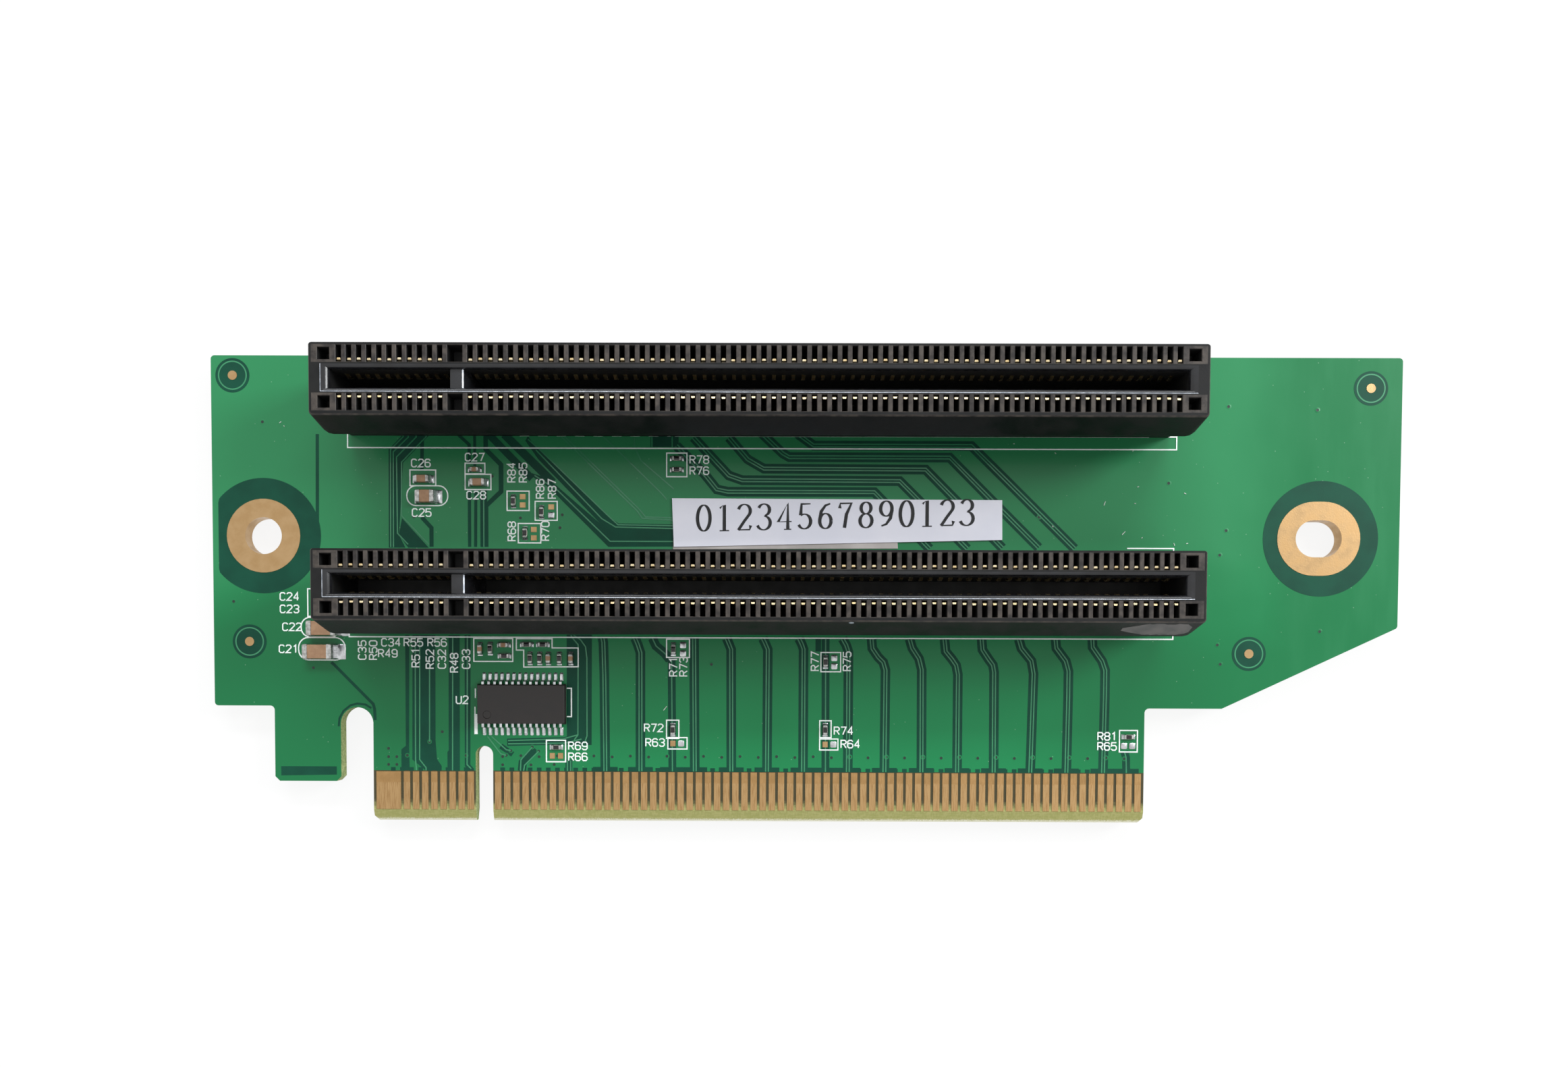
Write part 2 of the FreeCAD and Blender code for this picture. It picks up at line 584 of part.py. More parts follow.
def make_bare_pads():
    """Pairs of pads of the resistor positions that are left empty."""
    positions = [(x, LOWER_SLOT_Y + y, direction) for x, y, direction in EMPTY_BY_SLOT]
    positions += [(x, EDGE_Y + y, direction) for x, y, direction in EMPTY_BY_CONTACTS]
    pads = []
    for x, y, direction in positions:
        for side in (-1, 1):
            pad = centred_box(side * PAD_SPACING / 2, 0, PAD_WIDTH, PAD_LENGTH, 0, COPPER_THICKNESS)
            pads.append(turned(pad, ARRAY_OFFSET + x, y, direction))
    return pads


def label_sheet(corners, thickness):
    """Sheet over corners that are given from the middle of the contact array and lower slot."""
    return prism([(ARRAY_OFFSET + x, LOWER_SLOT_Y + y) for x, y in corners], 0, thickness)


def on_board(solids):
    """Lift parts built from Z = 0 onto the component side."""
    return [solid.translated(Vec(0, 0, BOARD_TOP)) for solid in solids]


# ---- all nodes ---------------------------------------------------------------------------------------

os.makedirs("parts", exist_ok=True)

save("circuit_board", [make_board()])
left_plating = make_hole_plating(LEFT_HOLE_X, HOLE_DIAMETER)
right_plating = make_hole_plating(RIGHT_HOLE_X, SLOTTED_HOLE_LENGTH)
save("hole_platings", [left_plating, right_plating])
save("fiducial_dots", make_fiducials())
save("edge_contacts_front", make_front_fingers())
save("edge_contacts_back", make_back_fingers())

HOUSING = make_housing()
save_connector("upper_slot", UPPER_SLOT_Y)
save_connector("lower_slot", LOWER_SLOT_Y)

save("chip_body", on_board([turned(make_chip_body(), *CHIP_PLACE, ALONG_X)]))
save("chip_leads", on_board([turned(lead, *CHIP_PLACE, ALONG_X) for lead in make_chip_leads()]))
for node, (size, share, node_y, heading) in PARTS_AT_SLOT_END.items():
    node_x = LEFT_SLOT_END - share * LEFT_STRIP
    save(node, on_board([turned(chip_part(size), node_x, LOWER_SLOT_Y + node_y, heading)]))
for node, (size, node_x, node_y, heading) in PARTS_BY_SLOT.items():
    save(node, on_board([turned(chip_part(size), ARRAY_OFFSET + node_x, LOWER_SLOT_Y + node_y, heading)]))
for node, (size, node_x, node_y, heading) in PARTS_BY_CONTACTS.items():
    save(node, on_board([turned(chip_part(size), ARRAY_OFFSET + node_x, EDGE_Y + node_y, heading)]))
save("bare_pads", on_board(make_bare_pads()))

under_label = label_sheet(UNDER_LABEL_CORNERS, LABEL_THICKNESS)
label = label_sheet(LABEL_CORNERS, 2 * LABEL_THICKNESS).cut(under_label)
save("label_under", on_board([under_label]))
save("label_top", on_board([label]))
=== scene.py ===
"""Riser card with two card slots: finishes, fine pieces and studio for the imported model."""
import logging
import math
import random
from dataclasses import dataclass, field
from enum import Enum, IntEnum
from typing import Iterable, Sequence

import bpy
from mathutils import Matrix, Vector


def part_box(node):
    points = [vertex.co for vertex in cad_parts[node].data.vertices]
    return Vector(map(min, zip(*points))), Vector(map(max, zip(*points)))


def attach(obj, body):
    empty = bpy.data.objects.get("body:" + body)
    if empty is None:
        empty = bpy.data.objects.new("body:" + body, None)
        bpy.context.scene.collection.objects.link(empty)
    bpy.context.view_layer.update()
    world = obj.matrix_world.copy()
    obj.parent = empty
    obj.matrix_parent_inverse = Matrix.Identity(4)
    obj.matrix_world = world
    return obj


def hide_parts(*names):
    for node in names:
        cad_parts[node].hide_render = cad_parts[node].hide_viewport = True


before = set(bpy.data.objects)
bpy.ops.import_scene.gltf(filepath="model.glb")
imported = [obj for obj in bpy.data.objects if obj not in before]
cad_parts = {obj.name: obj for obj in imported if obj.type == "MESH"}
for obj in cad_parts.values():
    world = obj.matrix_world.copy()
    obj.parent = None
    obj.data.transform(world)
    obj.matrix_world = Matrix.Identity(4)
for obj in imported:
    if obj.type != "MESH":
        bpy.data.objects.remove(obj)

LOG = logging.getLogger("riser_card")
MM = 0.001                      # sizes below are millimetres, Blender works in metres

Point = tuple[float, float, float]
Plan = tuple[float, float]
Colour = tuple[float, float, float]
Path = list[Plan]
Quad = tuple[float, float, float, float]


# ---- shader graphs ----

class Socket:
    """Output of a shader node that can be used in arithmetic."""

    def __init__(self, graph: "Graph", port: bpy.types.NodeSocket) -> None:
        """Wrap one output socket of a graph."""
        self.graph = graph
        self.port = port

    def math(self, operation: str, first: "Value", second: "Value" = 0.0) -> "Socket":
        """Math node with the given operation on two values."""
        return self.graph.node("ShaderNodeMath", {"operation": operation}, {0: first, 1: second})

    def __add__(self, other: "Value") -> "Socket":
        """Sum."""
        return self.math("ADD", self, other)

    def __radd__(self, other: float) -> "Socket":
        """Sum with the number first."""
        return self.math("ADD", other, self)

    def __sub__(self, other: "Value") -> "Socket":
        """Difference."""
        return self.math("SUBTRACT", self, other)

    def __rsub__(self, other: float) -> "Socket":
        """Difference with the number first."""
        return self.math("SUBTRACT", other, self)

    def __mul__(self, other: "Value") -> "Socket":
        """Product."""
        return self.math("MULTIPLY", self, other)

    def __rmul__(self, other: float) -> "Socket":
        """Product with the number first."""
        return self.math("MULTIPLY", other, self)

    def __gt__(self, other: "Value") -> "Socket":
        """One where this value is the larger, else zero."""
        return self.math("GREATER_THAN", self, other)

    def __lt__(self, other: "Value") -> "Socket":
        """One where this value is the smaller, else zero."""
        return self.math("LESS_THAN", self, other)

    def __abs__(self) -> "Socket":
        """Size without sign."""
        return self.math("ABSOLUTE", self)


Value = Socket | float


class Graph:
    """Node tree of one material or of the world."""

    def __init__(self, tree: bpy.types.NodeTree) -> None:
        """Empty the tree and keep it."""
        tree.nodes.clear()
        self.tree = tree

    def node(self, kind: str, settings: dict, inputs: dict, output: int | str = 0) -> Socket:
        """Add a node.

        Args:
            kind: Blender's name of the node type.
            settings: attributes of the node, set first.
            inputs: numbers, colours or sockets by input name or index.
            output: the output to use.

        Returns:
            The wrapped output socket.
        """
        made = self.tree.nodes.new(kind)
        for key, value in settings.items():
            setattr(made, key, value)
        for key, value in inputs.items():
            port = made.inputs[key]
            if isinstance(value, Socket):
                self.tree.links.new(value.port, port)
            elif isinstance(value, tuple) and len(value) == 3 and len(port.default_value) == 4:
                port.default_value = (*value, 1.0)
            else:
                port.default_value = value
        return Socket(self, made.outputs[output] if made.outputs else None)

    def place(self) -> Socket:
        """Place on the object, in metres."""
        return self.node("ShaderNodeTexCoord", {}, {}, "Object")

    def axes(self, vector: Socket) -> tuple[Socket, Socket, Socket]:
        """The three parts of a vector."""
        split = self.node("ShaderNodeSeparateXYZ", {}, {0: vector}).port.node
        return tuple(Socket(self, split.outputs[index]) for index in range(3))

    def mix(self, share: Value, first: "Tone", second: "Tone") -> Socket:
        """Colour between two colours."""
        inputs = {0: share, 6: first, 7: second}
        return self.node("ShaderNodeMix", {"data_type": "RGBA"}, inputs, 2)

    def math_max(self, first: Value, second: Value) -> Socket:
        """The larger of two values."""
        return self.node("ShaderNodeMath", {"operation": "MAXIMUM"}, {0: first, 1: second})

    def level(self, share: Socket, first: Value, second: Value) -> Socket:
        """Number between two numbers."""
        return self.node("ShaderNodeMix", {"data_type": "FLOAT"}, {0: share, 2: first, 3: second})

    def blend(self, share: Socket, first: Socket, second: Socket) -> Socket:
        """Vector between two vectors."""
        inputs = {0: share, 4: first, 5: second}
        return self.node("ShaderNodeMix", {"data_type": "VECTOR"}, inputs, 1)

    def noise(self, grain: float, detail: float = 3.0, stretch: Point = (1.0, 1.0, 1.0)) -> Socket:
        """Soft noise from 0 to 1.

        Args:
            grain: size of its patches, in millimetres.
            detail: levels of finer noise.
            stretch: how much longer the patches are along each axis.

        Returns:
            The noise value.
        """
        stretched = {0: self.place(), 1: tuple(1.0 / part for part in stretch)}
        at = self.node("ShaderNodeVectorMath", {"operation": "MULTIPLY"}, stretched)
        inputs = {"Vector": at, "Scale": 1.0 / (grain * MM), "Detail": detail}
        return self.node("ShaderNodeTexNoise", {}, inputs)

    def fade(self, value: Socket, low: float, high: float) -> Socket:
        """Value carried from low..high onto 0..1 and held there."""
        settings = {"interpolation_type": "SMOOTHSTEP"}
        return self.node("ShaderNodeMapRange", settings, {0: value, 1: low, 2: high})

    def specks(self, spacing: float, size: float) -> Socket:
        """One inside scattered small dots, zero elsewhere."""
        inputs = {"Vector": self.place(), "Scale": 1.0 / (spacing * MM)}
        return self.node("ShaderNodeTexVoronoi", {}, inputs) < size / spacing

    def bump(self, height: Value, depth: float) -> Socket:
        """Normal of a surface with a relief of the given depth in millimetres."""
        inputs = {"Height": height, "Distance": depth * MM, "Strength": 1.0}
        return self.node("ShaderNodeBump", {}, inputs)

    def surface(self, **inputs: "Value | Tone") -> None:
        """Make the output a principled surface.

        Args:
            inputs: its inputs by name, with underscores for spaces.
        """
        named = {key.replace("_", " "): value for key, value in inputs.items()}
        shader = self.node("ShaderNodeBsdfPrincipled", {}, named)
        self.node("ShaderNodeOutputMaterial", {}, {0: shader})


Tone = Socket | Colour


def srgb(red: int, green: int, blue: int) -> Colour:
    """Linear colour of an 8-bit display colour."""
    parts = [channel / 255 for channel in (red, green, blue)]
    return tuple(c / 12.92 if c <= 0.04045 else ((c + 0.055) / 1.055) ** 2.4 for c in parts)


@dataclass(frozen=True)
class Finish:
    """Finish with a cloudy second tone, fine relief and a varied gloss.

    Attributes:
        name: name of the material.
        tone: main colour.
        cloud: colour of the patches.
        cloud_size: size of the patches, in millimetres.
        roughness: mean roughness.
        spread: how far the roughness varies.
        metallic: one for bare metal.
        relief: depth of the fine relief, in millimetres.
        relief_size: size of its grain, in millimetres.
        coat: weight of a clear coat.
        stretch: how much longer the patches are along each axis.
        shine: strength of the clear highlight.
    """

    name: str
    tone: Colour
    cloud: Colour
    cloud_size: float
    roughness: float
    spread: float = 0.1
    metallic: float = 0.0
    relief: float = 0.004
    relief_size: float = 0.1
    coat: float = 0.0
    stretch: Point = (1.0, 1.0, 1.0)
    shine: float = 0.5

    def material(self) -> bpy.types.Material:
        """The material, made at its first use.

        Returns:
            The material.

        Raises:
            ValueError: where the frame already holds a material of this name.
        """
        known = bpy.data.materials.get(self.name)
        if known and known.get("finish") == self.name:
            return known
        if known:
            raise ValueError(f"{self.name} is the name of a material of the frame")
        made = bpy.data.materials.new(self.name)
        made["finish"] = self.name
        made.use_nodes = True
        self.dress(Graph(made.node_tree))
        return made

    def dress(self, graph: Graph) -> None:
        """Lay the nodes of this finish.

        Args:
            graph: node tree of the material.
        """
        patches = graph.fade(graph.noise(self.cloud_size, 4.0, self.stretch), 0.3, 0.7)
        fine = graph.noise(self.relief_size, 2.0, self.stretch)
        graph.surface(
            Base_Color=graph.mix(patches, self.tone, self.cloud),
            Roughness=self.roughness + (patches - 0.5) * self.spread,
            Metallic=self.metallic,
            Coat_Weight=self.coat,
            Specular_IOR_Level=self.shine,
            Normal=graph.bump(fine, self.relief),
        )

SLOT_PLASTIC = Finish(
    "moulded_plastic", srgb(14, 15, 16), srgb(26, 26, 26), cloud_size=2.2, roughness=0.55,
    spread=0.2, relief=0.008, relief_size=0.14, shine=0.2,
)
# Lighter tone of the ribs between the windows; on the rounded top edge and the window lips it is a
# painted highlight.
RIB_PLASTIC = Finish(
    "slot_plastic_worn", srgb(36, 33, 32), srgb(70, 64, 59), cloud_size=0.9, roughness=0.5,
    spread=0.2, relief=0.014, relief_size=0.15, shine=0.3,
)
# Darker tone of the same plastic inside the windows, pockets and card slot: painted shade.
SHADED_INSIDE_PLASTIC = Finish(
    "slot_plastic_inside", srgb(8, 8, 9), srgb(13, 13, 13), cloud_size=1.5, roughness=0.6,
    relief=0.003,
)
MOUTH_PLASTIC = Finish(
    "slot_plastic_smooth", srgb(20, 20, 22), srgb(30, 31, 34), cloud_size=2.0, roughness=0.24,
    relief_size=0.3,
)
# Near-white facets on the slot lips, the key bar's edge and a chip on a slope: painted highlight on
# black plastic.
PAINTED_LIP_HIGHLIGHT = Finish(
    "slot_plastic_lip", srgb(222, 228, 238), srgb(160, 168, 180), cloud_size=0.7, roughness=0.22,
    spread=0.14, relief=0.003,
)
SCUFFED = Finish(
    "slot_plastic_scuffed", srgb(78, 77, 78), srgb(108, 105, 104), cloud_size=1.6, roughness=0.5,
    spread=0.2, relief=0.012, shine=0.2,
)
SPRING_METAL = Finish(
    "gilt_spring", srgb(250, 236, 198), srgb(226, 200, 150), cloud_size=0.5, roughness=0.34,
    metallic=1.0, relief=0.003, relief_size=0.06,
)
SOLDER = Finish(
    "solder_alloy", srgb(206, 208, 210), srgb(168, 170, 172), cloud_size=0.5, roughness=0.3,
    spread=0.16, metallic=1.0, relief=0.012, relief_size=0.16,
)
LEAD_TIN = Finish(
    "tinned_lead", srgb(214, 216, 218), srgb(178, 180, 183), cloud_size=0.4, roughness=0.27,
    spread=0.12, metallic=1.0, relief_size=0.08,
)
TERMINAL_TIN = Finish(
    "tinned_terminal", srgb(196, 196, 194), srgb(150, 150, 146), cloud_size=0.3, roughness=0.4,
    spread=0.16, metallic=1.0, relief=0.012, relief_size=0.09,
)
GILT = Finish(
    "gilt_pad", srgb(186, 154, 112), srgb(172, 140, 98), cloud_size=1.2, roughness=0.36,
    spread=0.16, metallic=1.0, relief=0.006, relief_size=0.14,
)
CERAMIC = Finish(
    "ceramic_body", srgb(172, 136, 104), srgb(156, 120, 90), cloud_size=0.6, roughness=0.45,
    relief=0.006,
)
RESISTOR_GLASS = Finish(
    "resistor_glaze", srgb(22, 21, 22), srgb(34, 33, 33), cloud_size=0.3, roughness=0.2,
    relief=0.003,
)
RESISTOR_BASE = Finish(
    "resistor_base", srgb(208, 204, 192), srgb(186, 182, 170), cloud_size=0.3, roughness=0.5,
)
CHIP_MOULD = Finish(
    "chip_mould", srgb(20, 16, 15), srgb(28, 23, 21), cloud_size=1.2, roughness=0.46, spread=0.12,
    relief=0.008, relief_size=0.09,
)
CLEARANCE = Finish(
    "mask_over_bare_board", srgb(2, 60, 44), srgb(6, 68, 50), cloud_size=3.0, roughness=0.5,
    spread=0.08, shine=0.2,
)
TRACE = Finish(
    "mask_over_line", srgb(44, 132, 88), srgb(36, 120, 80), cloud_size=1.5, roughness=0.32,
    spread=0.08, coat=0.3,
)
SILK = Finish(
    "silkscreen", srgb(252, 255, 253), srgb(236, 246, 242), cloud_size=0.6, roughness=0.55,
    relief=0.006,
)
DUST_GREY = Finish("dust", srgb(206, 214, 206), srgb(170, 184, 172), cloud_size=0.4, roughness=0.8)
VIA_DARK = Finish("via_hole", srgb(8, 34, 26), srgb(12, 42, 30), cloud_size=0.3, roughness=0.4)
PAPER = Finish(
    "paper_face", srgb(242, 242, 252), srgb(234, 235, 247), cloud_size=6.0, roughness=0.5,
    relief=0.006, relief_size=0.5,
)
UNDER_PAPER = Finish(
    "under_label_paper", srgb(196, 190, 186), srgb(170, 164, 160), cloud_size=4.0, roughness=0.5,
    relief=0.01,
)
INK = Finish(
    "black_ink", srgb(12, 12, 15), srgb(30, 30, 34), cloud_size=0.8, roughness=0.6, relief=0.002,
)
CHIP_DIMPLE = Finish(
    "chip_dimple", srgb(20, 16, 14), srgb(28, 23, 20), cloud_size=0.4, roughness=0.3, relief=0.003,
)


# ---- mesh building ----

def circle(centre: Plan, radius: float, count: int) -> Path:
    """Circle in plan, counter-clockwise from above."""
    turns = [i * (2 * math.pi / count) for i in range(count)]
    return [(centre[0] + radius * math.cos(t), centre[1] + radius * math.sin(t)) for t in turns]


def ring_of(centre: Plan, radius: float, level: float, count: int) -> list[Point]:
    """Circle at one level, counter-clockwise from above."""
    return [(x, y, level) for x, y in circle(centre, radius, count)]


def oblong(centre: Plan, size: Plan, radius: float, level: float, steps: int = 3) -> list[Point]:
    """Rectangle with round corners at one level, counter-clockwise from above.

    Args:
        centre: its middle.
        size: its length along X and along Y.
        radius: corner radius; nothing is rounded at zero steps.
        level: its height.
        steps: segments in each corner.

    Returns:
        The corner points.
    """
    points = []
    reach = (size[0] / 2 - radius, size[1] / 2 - radius)
    for quarter, (side_x, side_y) in enumerate(((1, 1), (-1, 1), (-1, -1), (1, -1))):
        if steps == 0:
            corner = (centre[0] + side_x * size[0] / 2, centre[1] + side_y * size[1] / 2, level)
            points.append(corner)
            continue
        for step in range(steps + 1):
            angle = (quarter + step / steps) * math.pi / 2
            points.append((
                centre[0] + side_x * reach[0] + radius * math.cos(angle),
                centre[1] + side_y * reach[1] + radius * math.sin(angle),
                level,
            ))
    return points


def box_path(low: Plan, high: Plan) -> Path:
    """Corners of a rectangle, counter-clockwise from the lowest."""
    return [(low[0], low[1]), (high[0], low[1]), (high[0], high[1]), (low[0], high[1])]


def heading(path: Sequence[Plan], place: int, closed: bool = False) -> Vector:
    """Direction of a path at one of its points.

    Args:
        path: its points.
        place: index of the point.
        closed: the path ends where it starts.

    Returns:
        A vector of length one.
    """
    last = len(path) - 1
    before, after = path[max(place - 1, 0)], path[min(place + 1, last)]
    if closed and place in (0, last):
        before, after = path[-2], path[1]
    return Vector((after[0] - before[0], after[1] - before[1])).normalized()


def dotted(path: Sequence[Plan], dash: float, gap: float) -> list[Path]:
    """Dashes along a straight run.

    Args:
        path: the two ends of the run.
        dash: length of a dash.
        gap: length between two dashes.

    Returns:
        The two ends of each dash.
    """
    (x0, y0), (x1, y1) = path
    span = math.hypot(x1 - x0, y1 - y0)
    dashes = []
    start = 0.0
    while start < span:
        ends = (start, min(start + dash, span))
        dashes.append([(x0 + (x1 - x0) * t / span, y0 + (y1 - y0) * t / span) for t in ends])
        start += dash + gap
    return dashes


class Mesher:
    """Collects faces in millimetres and turns them into one piece."""

    least_mitre = 0.35           # a sharp corner of a ribbon spreads no further than this allows
    rise = 0.00008               # step between flat shapes that cross

    def __init__(self) -> None:
        """Start with nothing."""
        self.points: list[Point] = []
        self.faces: list[tuple[int, ...]] = []
        self.tones: list[int] = []
        self.strips = 0

    def lift(self) -> float:
        """Small rise that keeps flat shapes which cross from sharing one level."""
        self.strips += 1
        return self.strips * self.rise

    def face(self, corners: Sequence[Point], tone: int = 0) -> None:
        """Add one face.

        Args:
            corners: its corners, counter-clockwise seen from outside.
            tone: index of the finish.
        """
        first = len(self.points)
        self.points.extend(corners)
        self.faces.append(tuple(range(first, first + len(corners))))
        self.tones.append(tone)

    def loft(
        self,
        rings: Sequence[Sequence[Point]],
        tone: int = 0,
        start: bool = False,
        end: bool = False,
    ) -> None:
        """Join closed rings that turn counter-clockwise seen from the end.

        Args:
            rings: rings of equal length.
            tone: index of the finish.
            start: close the first ring.
            end: close the last ring.
        """
        first = len(self.points)
        count = len(rings[0])
        for ring in rings:
            self.points.extend(ring)
        made = []
        for low in range(first, first + (len(rings) - 1) * count, count):
            for i in range(count):
                j = (i + 1) % count
                made.append((low + i, low + j, low + count + j, low + count + i))
        if start:
            made.append(tuple(reversed(range(first, first + count))))
        if end:
            made.append(tuple(range(len(self.points) - count, len(self.points))))
        self.faces += made
        self.tones += [tone] * len(made)

    def slab(self, outline: Sequence[Plan], low: float, high: float) -> None:
        """Plate over a counter-clockwise outline, open underneath."""
        high += self.lift()
        self.loft([[(x, y, z) for x, y in outline] for z in (low, high)], end=True)

    def ribbon(
        self, path: Sequence[Plan], width: float, low: float, high: float, closed: bool = False
    ) -> None:
        """Flat line along a path, with mitred corners.

        Args:
            path: corners of its middle line.
            width: its width.
            low: level of its foot.
            high: level of its face.
            closed: join the end to the start.
        """
        count = len(path)
        high += self.lift()
        first = len(self.points)
        for i, (x, y) in enumerate(path):
            runs = []
            if closed or i > 0:
                runs.append((x - path[i - 1][0], y - path[i - 1][1]))
            if closed or i + 1 < count:
                ahead = path[(i + 1) % count]
                runs.append((ahead[0] - x, ahead[1] - y))
            units = [(dx / math.hypot(dx, dy), dy / math.hypot(dx, dy)) for dx, dy in runs]
            tangent = Vector((sum(u[0] for u in units), sum(u[1] for u in units))).normalized()
            reach = width / 2 / max(self.least_mitre, tangent.dot(Vector(units[0])))
            left = (x - tangent.y * reach, y + tangent.x * reach)
            right = (x + tangent.y * reach, y - tangent.x * reach)
            self.points += [(*right, low), (*right, high), (*left, high), (*left, low)]
        made = []
        for i in range(count if closed else count - 1):
            a, b = first + 4 * i, first + 4 * ((i + 1) % count)
            made += [(a + k, b + k, b + k + 1, a + k + 1) for k in range(3)]
        if not closed:
            last = len(self.points) - 4
            made += [tuple(range(first, first + 4)), tuple(range(last + 3, last - 1, -1))]
        self.faces += made
        self.tones += [0] * len(made)

    def build(
        self,
        name: str,
        finishes: Sequence[Finish],
        stands_for: str = "",
        crease: float = 35.0,
    ) -> None:
        """Make the piece and let it ride with the card.

        Args:
            name: name of the piece.
            finishes: its finishes, in the order of the tones.
            stands_for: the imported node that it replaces, if any.
            crease: edges sharper than this angle stay sharp, in degrees.
        """
        materials = [finish.material() for finish in finishes]
        mesh = bpy.data.meshes.new(name)
        points = [tuple(part * MM for part in point) for point in self.points]
        mesh.from_pydata(points, [], self.faces)
        for material in materials:
            mesh.materials.append(material)
        mesh.polygons.foreach_set("material_index", self.tones)
        mesh.shade_smooth()
        mesh.set_sharp_from_angle(angle=math.radians(crease))
        mesh.update()
        made = bpy.data.objects.new(name, mesh)
        bpy.context.scene.collection.objects.link(made)
        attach(made, "root")
        if stands_for:
            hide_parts(stands_for)
        LOG.info("%s: %d faces", name, len(self.faces))


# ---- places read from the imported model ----

def corners(node: str) -> tuple[Point, Point]:
    """Lowest and highest corner of a node, in millimetres."""
    low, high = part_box(node)
    return tuple(part / MM for part in low), tuple(part / MM for part in high)


def middle(node: str) -> Plan:
    """Middle of a node in plan, in millimetres."""
    low, high = corners(node)
    return (low[0] + high[0]) / 2, (low[1] + high[1]) / 2


class Side(Enum):
    """The two contact rows of a slot: towards the edge contacts, and away from them."""

    FRONT = -1
    BACK = 1


@dataclass(frozen=True)
class PinRow:
    """Contact places along a slot or along the card's own edge, in millimetres."""

    pins: int = 82
    before_key: int = 11
    key_gap: int = 2
    pitch: float = 1.0

    def x(self, pin: int) -> float:
        """Place of a contact from the middle of the row."""
        skipped = self.key_gap if pin > self.before_key else 0
        return (pin - 1 + skipped) * self.pitch - (self.pins - 1 + self.key_gap) * self.pitch / 2

    def key_x(self) -> float:
        """Middle of the key."""
        return (self.x(self.before_key) + self.x(self.before_key + 1)) / 2


PINS = PinRow()
BOARD_LOW, BOARD_HIGH = corners("circuit_board")
BOARD_TOP = BOARD_HIGH[2]
BOARD_BOTTOM = BOARD_LOW[2]
EDGE_Y = BOARD_LOW[1]
ARRAY_X = middle("lower_slot_housing")[0]


# ---- slot connectors ----

class Shell(IntEnum):
    """Finishes of a slot housing, in the order of SHELL_FINISHES."""

    OUTSIDE = 0
    # Lighter ribs, and painted highlight on the top edge and window lips.
    RIB = 1
    # Painted shade inside the openings and the card slot.
    INSIDE = 2
    MOUTH = 3
    # Painted highlight on facets of the lips and the key bar.
    LIP = 4
    SCUFF = 5


SHELL_FINISHES = (SLOT_PLASTIC, RIB_PLASTIC, SHADED_INSIDE_PLASTIC, MOUTH_PLASTIC, PAINTED_LIP_HIGHLIGHT, SCUFFED)


@dataclass(frozen=True)
class Opening:
    """Straight opening in the top of a housing, placed from the middle of its card slot."""

    x: float
    y: float
    width: float
    depth: float
    drop: float


@dataclass(frozen=True)
class Scar:
    """Rubbed patch, or small chip coloured as painted highlight, on the front slope of a housing.

    Attributes:
        place: its middle along the slot.
        length: its length.
        first: where it starts, as a share of the slope from the top.
        last: where it ends.
        tone: its finish.
    """

    place: float
    length: float
    first: float
    last: float
    tone: Shell


SCARS = {
    "lower_slot": (
        # A small chip coloured near white: painted highlight.
        Scar(9.3, 0.5, 0.0, 0.12, Shell.LIP),
        Scar(40.0, 6.9, 0.05, 0.96, Shell.SCUFF),
    )
}
# Spring from its leg to its tip: distance from the middle of the card slot, level from the top.
SPRING_LINE = (
    (3.05, -6.4), (2.8, -5.4), (1.6, -4.6), (0.86, -3.9), (0.7, -3.3), (0.86, -2.7), (1.3, -1.6),
    (1.56, -0.8), (1.68, -0.42), (1.8, -0.26), (1.95, -0.24),
)
# Radius and level of a solder joint: the end of the leg, and the cone, whose girth varies.
JOINT_LEG = ((0.2, 0.02), (0.24, 0.06), (0.26, 0.3))
JOINT_CONE = ((0.3, 0.42), (0.38, 0.62), (0.52, 0.86), (0.66, 1.0))
STRIP_CORNERS = ((-1, -1), (1, -1), (1, 1), (-1, 1))       # across and along a strip's thickness
SHELL_STEPS = 4                                            # segments in a corner of the housing
BACK_HALF = 2 * (SHELL_STEPS + 1)                          # its points on the back side


